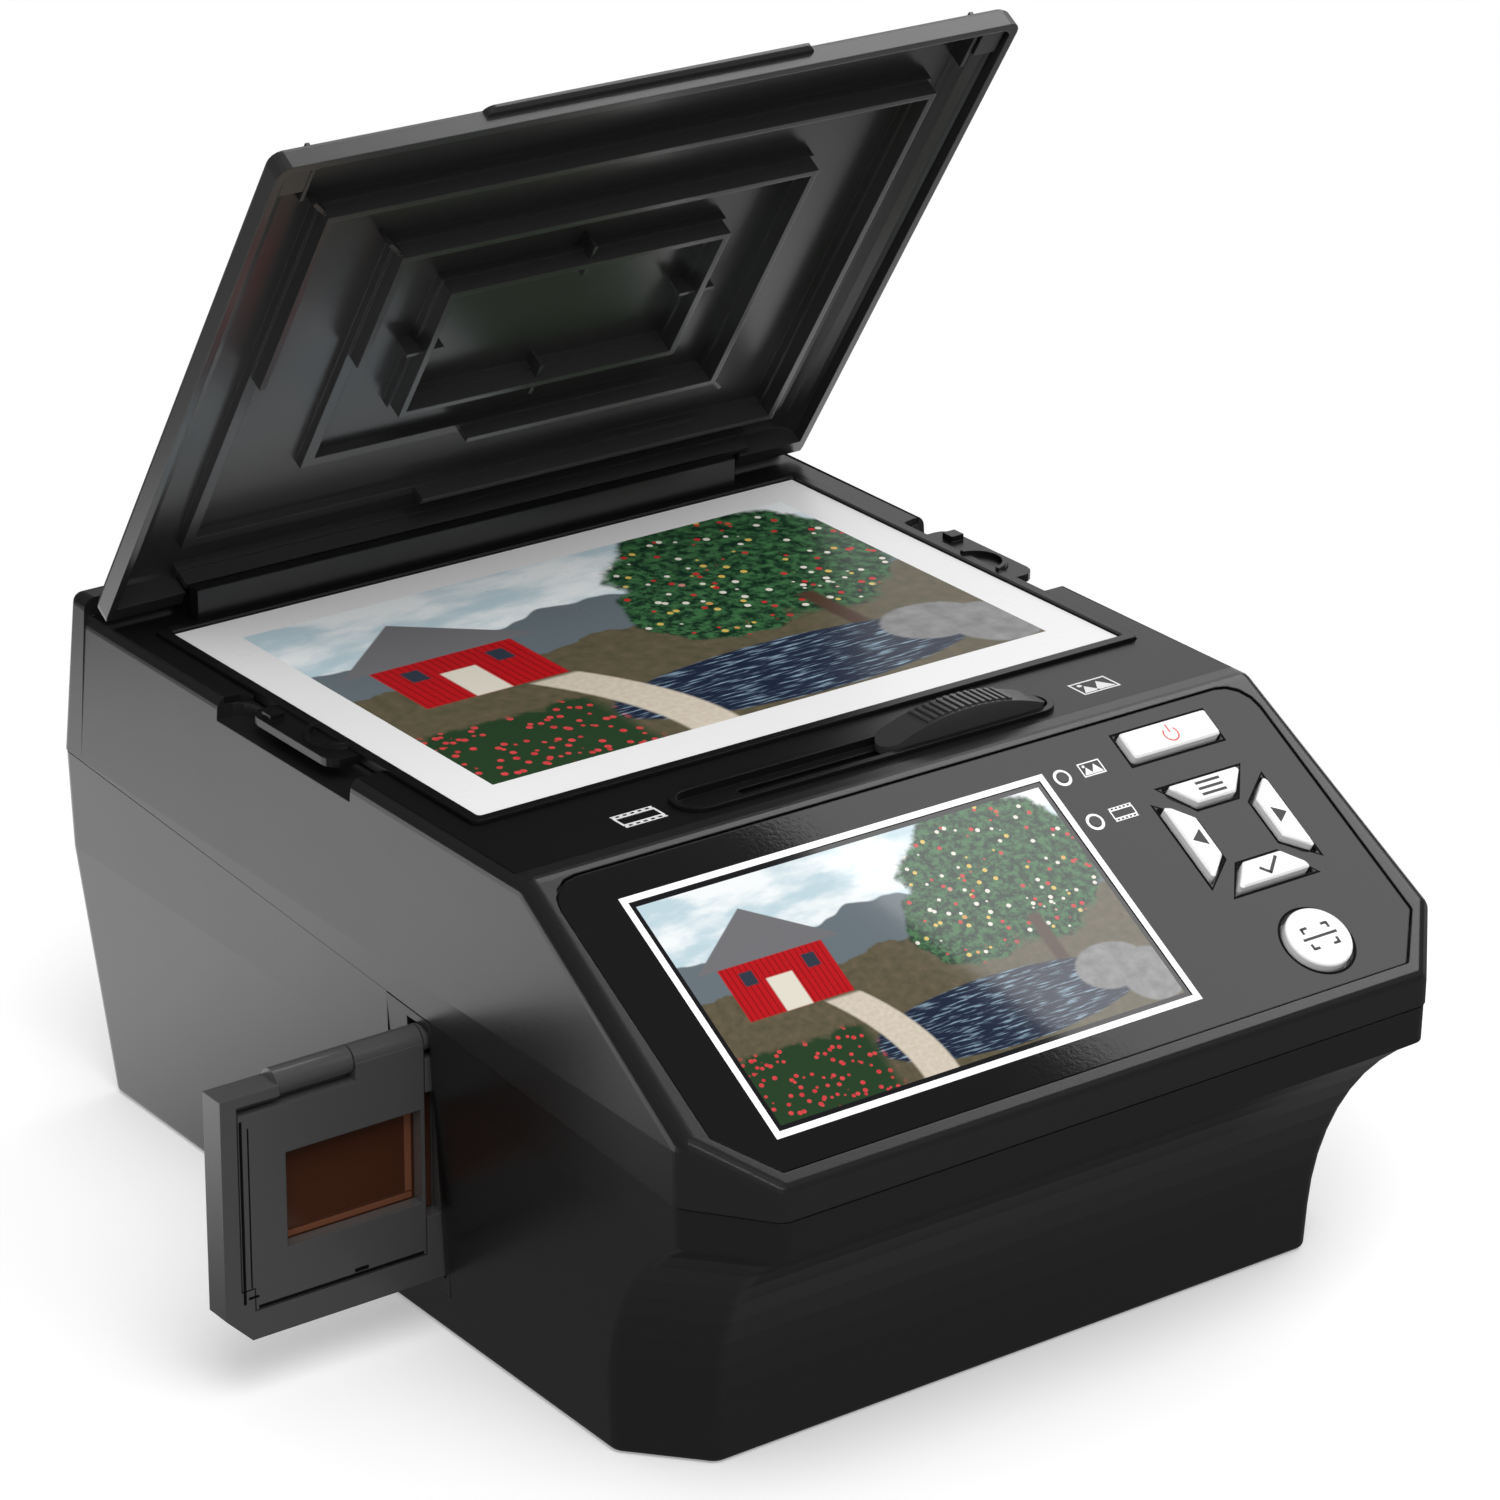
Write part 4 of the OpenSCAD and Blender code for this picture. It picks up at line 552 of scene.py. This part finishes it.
FINISH = {
    "upper_shell": SHELL, "lower_shell": SHELL_LOW, "base_plate": BLACK, "rubber_feet": RUBBER,
    "case_screws": STEEL, "deck_plate": DECK, "photo_glass": GLASS, "photo_tray": DECK,
    "sample_print": photo_paper(), "lid": LID, "hinge_pins": STEEL, "slider_bezel": DECK,
    "slider_knob": KNOB, "mirror_carriage": INNER, "carriage_mirror": MIRROR, "guide_rods": STEEL,
    "rod_brackets": INNER, "control_panel": PANEL, "screen_module": lit_screen(),
    "indicator_lamps": BLACK, "power_button": WHITE, "menu_button": WHITE, "enter_button": WHITE,
    "left_button": WHITE, "right_button": WHITE, "scan_button": WHITE, "button_board": BOARD,
    "key_switches": BLACK, "slot_bezel": BLACK, "film_guide": INNER, "tray_base": TRAY,
    "tray_cover": TRAY, "tray_pin": STEEL, "film_frame": AMBER, "backlight_box": BRIGHT,
    "backlight_diffuser": BRIGHT, "relay_lens": GLASS, "relay_holder": INNER, "fixed_mirror": MIRROR,
    "mirror_bracket": INNER, "camera_board": BOARD, "camera_housing": BLACK, "camera_lens": GLASS,
    "photo_lights": BRIGHT, "main_board": BOARD, "usb_socket": STEEL, "card_socket": STEEL,
}
for name, finish in FINISH.items():
    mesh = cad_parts[name].data
    mesh.materials.clear()
    mesh.materials.append(finish)


# ---- flat shapes: a loop is a list of corners, in order round the shape ----

def rect(x0, y0, x1, y1):
    return [(x0, y0), (x1, y0), (x1, y1), (x0, y1)]


def bar(a, b, width):
    """A straight stroke with square ends."""
    a, b = Vector(a), Vector(b)
    side = (b - a).normalized().orthogonal() * width / 2
    return [tuple(a - side), tuple(b - side), tuple(b + side), tuple(a + side)]


def upright(x, low, high, width):
    return bar((x, low), (x, high), width)


def level(y, left, right, width):
    return bar((left, y), (right, y), width)


def disc(cx, cy, r, steps=16):
    turns = [math.tau * i / steps for i in range(steps)]
    return [(cx + r * math.cos(g), cy + r * math.sin(g)) for g in turns]


def arc(cx, cy, r, width, start=0, end=360, steps=24):
    """Loops of a curved stroke, as short pieces end to end."""
    def at(radius, step):
        g = math.radians(start + (end - start) * step / steps)
        return cx + radius * math.cos(g), cy + radius * math.sin(g)
    inner, outer = r - width / 2, r + width / 2
    return [[at(inner, i), at(outer, i), at(outer, i + 1), at(inner, i + 1)] for i in range(steps)]


def outline(x0, y0, x1, y1, width):
    """Loops of a rectangle drawn as a line, which lies inside the given corners."""
    w = width
    return [rect(x0, y0, x1, y0 + w), rect(x0, y1 - w, x1, y1),
            rect(x0, y0 + w, x0 + w, y1 - w), rect(x1 - w, y0 + w, x1, y1 - w)]


def band(inner, outer):
    """Loops between two outlines with as many corners, one piece for each side."""
    n = len(inner)
    return [[inner[i], inner[(i + 1) % n], outer[(i + 1) % n], outer[i]] for i in range(n)]


def moved(loops, place, scale=1.0):
    """Loops drawn about the origin, scaled and set at a place."""
    dx, dy = place
    return [[(dx + x * scale, dy + y * scale) for x, y in loop] for loop in loops]


# ---- signs, drawn about their own middle ----

def film_sign():
    """A strip of film: a frame with a row of holes above and below."""
    half_wide, half_high = 5.2, 2.0
    edge, holes = 2.9, 2.4
    first, pitch, half_hole = -4.6, 1.84, 0.45
    loops = outline(-half_wide, -half_high, half_wide, half_high, 0.5)
    loops += [level(side * edge, -half_wide, half_wide, 0.3) for side in (1, -1)]
    for i in range(6):
        x = first + i * pitch
        loops += [level(side * holes, x - half_hole, x + half_hole, 0.55) for side in (1, -1)]
    return loops


def photo_sign():
    """A framed picture: two hills and a sun."""
    ground = -2.3
    left_hill = [(-4.2, ground), (-0.2, ground), (-2.2, 0.9)]
    right_hill = [(-0.9, ground), (4.2, ground), (1.7, 1.7)]
    return outline(-5.0, -3.1, 5.0, 3.1, 0.5) + [left_hill, right_hill, disc(-2.9, 1.5, 0.6)]


def power_sign():
    """A ring open at the top, with a stroke in the gap."""
    return arc(0.0, -0.2, 1.9, 0.42, start=-225, end=45) + [upright(0.0, 0.2, 2.5, 0.42)]


def menu_sign():
    return [level(row * 1.6, -3.5, 3.5, 0.75) for row in (-1, 0, 1)]


def tick_sign():
    return [bar((-2.8, 0.3), (-0.6, -1.8), 0.8), bar((-1.0, -1.8), (3.1, 2.0), 0.8)]


def arrow_sign(way):
    """A solid arrow head that points left (-1) or right (1)."""
    tip, back, half = 1.8, -1.5, 2.3
    return [[(way * tip, 0.0), (way * back, half), (way * back, -half)]]


def scan_sign():
    """Four corners of a frame, with a line through the middle."""
    loops = []
    for sx in (-1, 1):
        for sy in (-1, 1):
            loops += [level(sy * 2.8, sx * 3.6, sx * 2.0, 0.7), upright(sx * 3.6, sy * 3.05, sy * 1.4, 0.7)]
    return loops + [level(0.0, -4.8, 4.8, 0.7)]


# ---- painted shade in the key wells and cover grooves, and painted highlights on the film's edges ----

def key_line(turn, grow):
    """Outline of one key of the ring, grown all round and most at its outer corners."""
    outer, inner = RING_HALF + grow, RING_HALF - KEY_DEPTH - grow
    half_outer, half_inner = KEY_OUTER + OUTER_SPREAD * grow, KEY_INNER + INNER_SPREAD * grow
    corners = ((-half_outer, outer), (-half_inner, inner), (half_inner, inner), (half_outer, outer))
    cos, sin = math.cos(math.radians(turn)), math.sin(math.radians(turn))
    return [(RING_X + x * cos - y * sin, RING_UP + x * sin + y * cos) for x, y in corners]


def power_line(grow):
    x, up = POWER_AT
    half_wide, half_high = POWER_WIDE / 2 + grow, POWER_HIGH / 2 + grow
    return rect(x - half_wide, up - half_high, x + half_wide, up + half_high)


def key_well_shade():
    """Painted shade: dull near-black rings round the keys, where the wells they stand in fall dark."""
    near, far = WELL_GAP, WELL_GAP + WELL_SHADE_WIDE
    loops = arc(*SCAN_AT, SCAN_RADIUS + (near + far) / 2, WELL_SHADE_WIDE, steps=48)
    loops += band(power_line(near), power_line(far))
    for turn in (0, 90, 180, 270):
        loops += band(key_line(turn, near), key_line(turn, far))
    return loops


def cover_groove_shade():
    """Painted shadows: dark strips in the grooves down the left edge of the cover and along its foot, and
    in the line of its clip.
    """
    low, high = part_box("tray_cover")
    left, right, foot = low[0] / MM, high[0] / MM, low[2] / MM
    return [upright(left + 0.5, foot + 2.1, foot + 46.1, 0.7),
            upright(left + 2.3, foot + 5.6, foot + 44.1, 0.35),
            level(foot + 0.6, left + 3.9, right - 0.8, 0.8),
            level(foot + 3.3, left + 1.4, left + 4.0, 0.6),
            level(foot + 1.7, left + 28.4, left + 31.9, 0.9)]


def film_edge_highlights():
    """Painted highlights: light that the film's edges catch, at the right and the foot of the window."""
    low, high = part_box("film_frame")
    middle_x, middle_z = (low[0] + high[0]) / 2 / MM, (low[2] + high[2]) / 2 / MM
    left, right = middle_x - FILM_WINDOW_WIDE / 2, middle_x + FILM_WINDOW_WIDE / 2
    foot, top = middle_z - FILM_WINDOW_HIGH / 2, middle_z + FILM_WINDOW_HIGH / 2
    return [upright(right - 1.3, foot + 1.95, top - 0.25, 1.7),
            level(foot + 0.95, left + 0.4, right - 0.4, 1.5)]


# ---- making the marks ----

def prism(bm, loop, low, high, place):
    """A flat shape with a little thickness, its faces pointing out."""
    area = sum(a[0] * b[1] - b[0] * a[1] for a, b in zip(loop, loop[1:] + loop[:1]))
    if area < 0:
        loop = loop[::-1]
    bottom = [bm.verts.new(place(x, y, low)) for x, y in loop]
    top = [bm.verts.new(place(x, y, high)) for x, y in loop]
    bm.faces.new(bottom[::-1])
    bm.faces.new(top)
    for i in range(len(loop)):
        j = (i + 1) % len(loop)
        bm.faces.new((bottom[i], bottom[j], top[j], top[i]))


def mark(name, loops, place, height, finish, body, thick=INK_THICK):
    """A piece made of flat shapes that lie on a surface of one body."""
    bm = bmesh.new()
    for loop in loops:
        prism(bm, loop, height, height + thick, place)
    mesh = bpy.data.meshes.new(name)
    bm.to_mesh(mesh)
    bm.free()
    mesh.materials.append(finish)
    piece = bpy.data.objects.new(name, mesh)
    bpy.context.scene.collection.objects.link(piece)
    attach(piece, body)


def casing_mark(name, loops, place, finish):
    mark(name, loops, place, FLUSH, finish, "casing")


def key_mark(name, loops, at, finish, body):
    mark(name, moved(loops, at), on_face, KEY_RISE, finish, body)


screen_edge = outline(SCREEN_X - SCREEN_WIDE / 2, 0.0, SCREEN_X + SCREEN_WIDE / 2, SCREEN_HIGH, SCREEN_LINE)
casing_mark("screen_line", screen_edge, on_face, WHITE_INK)
casing_mark("film_sign", moved(film_sign(), FILM_SIGN_AT, scale=1.05), on_deck, GREY_INK)
casing_mark("photo_sign", moved(photo_sign(), PHOTO_SIGN_AT, scale=1.05), on_deck, GREY_INK)
casing_mark("photo_lamp_sign", moved(photo_sign(), PHOTO_LAMP_SIGN_AT, scale=0.62), on_face, WHITE_INK)
casing_mark("film_lamp_sign", moved(film_sign(), FILM_LAMP_SIGN_AT, scale=0.62), on_face, WHITE_INK)
for i, lamp_at in enumerate(LAMPS):
    casing_mark("lamp_ring_%d" % i, arc(*lamp_at, 1.9, 0.75), on_face, WHITE_INK)

# painted shade round each key, in the well it stands in
mark("key_well_shade", key_well_shade(), on_face, FLUSH, PAINTED_SHADE, "casing", LINE_THICK)
key_mark("power_sign", power_sign(), POWER_AT, ROSE_INK, "power_key")
key_mark("menu_sign", menu_sign(), (RING_X, RING_UP + KEY_MIDDLE), DARK_INK, "menu_key")
key_mark("enter_sign", tick_sign(), (RING_X, RING_UP - KEY_MIDDLE), DARK_INK, "enter_key")
key_mark("left_sign", arrow_sign(-1), (RING_X - KEY_MIDDLE, RING_UP), DARK_INK, "left_key")
key_mark("right_sign", arrow_sign(1), (RING_X + KEY_MIDDLE, RING_UP), DARK_INK, "right_key")
key_mark("scan_sign", scan_sign(), SCAN_AT, DARK_INK, "scan_key")

# painted shadows in the grooves of the film cover and in the line of its clip
mark("cover_groove_shade", cover_groove_shade(), on_front_of("tray_cover"), FLUSH, PAINTED_SHADE, "film_cover",
     LINE_THICK)
# painted highlights along the film's edges in the window
mark("film_edge_highlights", film_edge_highlights(), on_front_of("film_frame"), FLUSH, AMBER_HIGHLIGHT, "film_tray",
     LINE_THICK)


# ---- stage ----

FLOOR_SIDE = 12.0
WHITE_FROM, WHITE_PAST = 0.19, 0.34     # distance from the object where the floor turns white


def floor_material():
    m = bpy.data.materials.new("studio_floor")
    m.use_nodes = True
    t = Tree(m.node_tree)
    m.node_tree.nodes.clear()
    rays = t.node("ShaderNodeLightPath").outputs
    place = t.node("ShaderNodeNewGeometry").outputs["Position"]
    _, y, _ = t.xyz(place)
    # seen by the camera the floor is white with a pale shadow, and all white further off
    pale = t.node("ShaderNodeAddShader")
    t.feed(pale.inputs[0], t.shader("ShaderNodeBsdfDiffuse", 0.75))
    t.feed(pale.inputs[1], t.shader("ShaderNodeEmission", 0.28))
    far = t.ramp(t.vmath("LENGTH", place), WHITE_FROM, WHITE_PAST)
    shown = t.mix_shader(far, pale.outputs[0], t.shader("ShaderNodeEmission", 1.0))
    seen = t.mix_shader(rays["Is Camera Ray"], t.shader("ShaderNodeBsdfDiffuse", 0.30), shown)
    # in reflections the floor is bright behind the object and dim in front of it
    behind = t.mul(t.ramp(y, -0.02, 0.17), t.ramp(y, 0.52, 0.36))
    glow = t.node("ShaderNodeEmission")
    t.feed(glow.inputs["Color"], t.mix(behind, grey(0.11), grey(1.2)))
    surface = t.mix_shader(rays["Is Glossy Ray"], seen, glow.outputs[0])
    t.feed(t.node("ShaderNodeOutputMaterial").inputs["Surface"], surface)
    return m


def make_floor():
    half = FLOOR_SIDE / 2
    mesh = bpy.data.meshes.new("floor")
    mesh.from_pydata([(x, y, 0.0) for x, y in rect(-half, -half, half, half)], [], [(0, 1, 2, 3)])
    mesh.materials.append(floor_material())
    floor = bpy.data.objects.new("floor", mesh)
    bpy.context.scene.collection.objects.link(floor)
    return floor


def make_world():
    """Soft light on the object, nearly dark in reflections and pale where the camera sees it."""
    world = bpy.data.worlds.new("studio")
    world.use_nodes = True
    world.node_tree.nodes.clear()
    t = Tree(world.node_tree)
    rays = t.node("ShaderNodeLightPath").outputs
    unseen = t.mix_shader(rays["Is Glossy Ray"], t.shader("ShaderNodeBackground", 0.66),
                          t.shader("ShaderNodeBackground", 0.05))
    sky = t.mix_shader(rays["Is Camera Ray"], unseen, t.shader("ShaderNodeBackground", 0.80))
    t.feed(t.node("ShaderNodeOutputWorld").inputs["Surface"], sky)
    return world


def lamp(name, place, aim, wide, long, power):
    data = bpy.data.lights.new(name, "AREA")
    data.shape = "RECTANGLE"
    data.size = wide
    data.size_y = long
    data.energy = power
    obj = bpy.data.objects.new(name, data)
    bpy.context.scene.collection.objects.link(obj)
    obj.location = place
    obj.rotation_euler = (Vector(aim) - Vector(place)).to_track_quat("-Z", "Y").to_euler()
    obj.visible_camera = False
    return obj


def light_studio():
    # its near edge is what the panel and the screen mirror as a slanting line
    softbox = lamp("right_softbox", (1.288, 0.190, 1.45), aim=(1.288, 0.190, 0.0),
                   wide=1.0, long=1.4, power=8.8)
    softbox.rotation_euler = (0.0, 0.0, math.radians(42.2))
    key = lamp("front_key", (-0.35, -0.85, 1.6), aim=(0.0, 0.05, 0.1), wide=1.3, long=1.3, power=21.0)
    key.visible_glossy = False
    # seen only in the gloss of the deck, past the right side of the lid
    card = lamp("back_card", (0.98, 0.95, 0.62), aim=(0.05, 0.0, 0.12), wide=1.0, long=0.8, power=1.7)
    card.visible_diffuse = False
    # seen only in gloss: it draws the bright lines along the rounded rims
    strip = lamp("rim_strip", (-0.45, -1.25, 1.25), aim=(0.0, -0.10, 0.1), wide=0.5, long=0.25, power=1.6)
    strip.visible_diffuse = False


# Camera, fitted to the photograph: metres and degrees
CAMERA_AT = (-0.6850, -0.9355, 0.6045)
AZIMUTH, ELEVATION, ROLL = -36.53, 23.30, 0.56
FOCAL_MM, SENSOR_MM = 132.74, 36.0


def make_camera():
    data = bpy.data.cameras.new("camera")
    camera = bpy.data.objects.new("camera", data)
    bpy.context.scene.collection.objects.link(camera)
    data.sensor_width = SENSOR_MM
    data.lens = FOCAL_MM
    data.clip_start = 0.05
    data.clip_end = 50.0
    az, el, roll = math.radians(AZIMUTH), math.radians(ELEVATION), math.radians(ROLL)
    back = Vector((math.sin(az) * math.cos(el), -math.cos(az) * math.cos(el), math.sin(el)))
    right = Vector((0, 0, 1)).cross(back).normalized()
    up = back.cross(right)
    rolled_right = right * math.cos(roll) + up * math.sin(roll)
    rolled_up = up * math.cos(roll) - right * math.sin(roll)
    turn = Matrix((rolled_right, rolled_up, back)).transposed().to_4x4()
    camera.matrix_world = Matrix.Translation(CAMERA_AT) @ turn
    return camera


make_floor()
bpy.context.scene.world = make_world()
light_studio()
bpy.context.scene.camera = make_camera()
bpy.context.scene.view_settings.view_transform = "Standard"
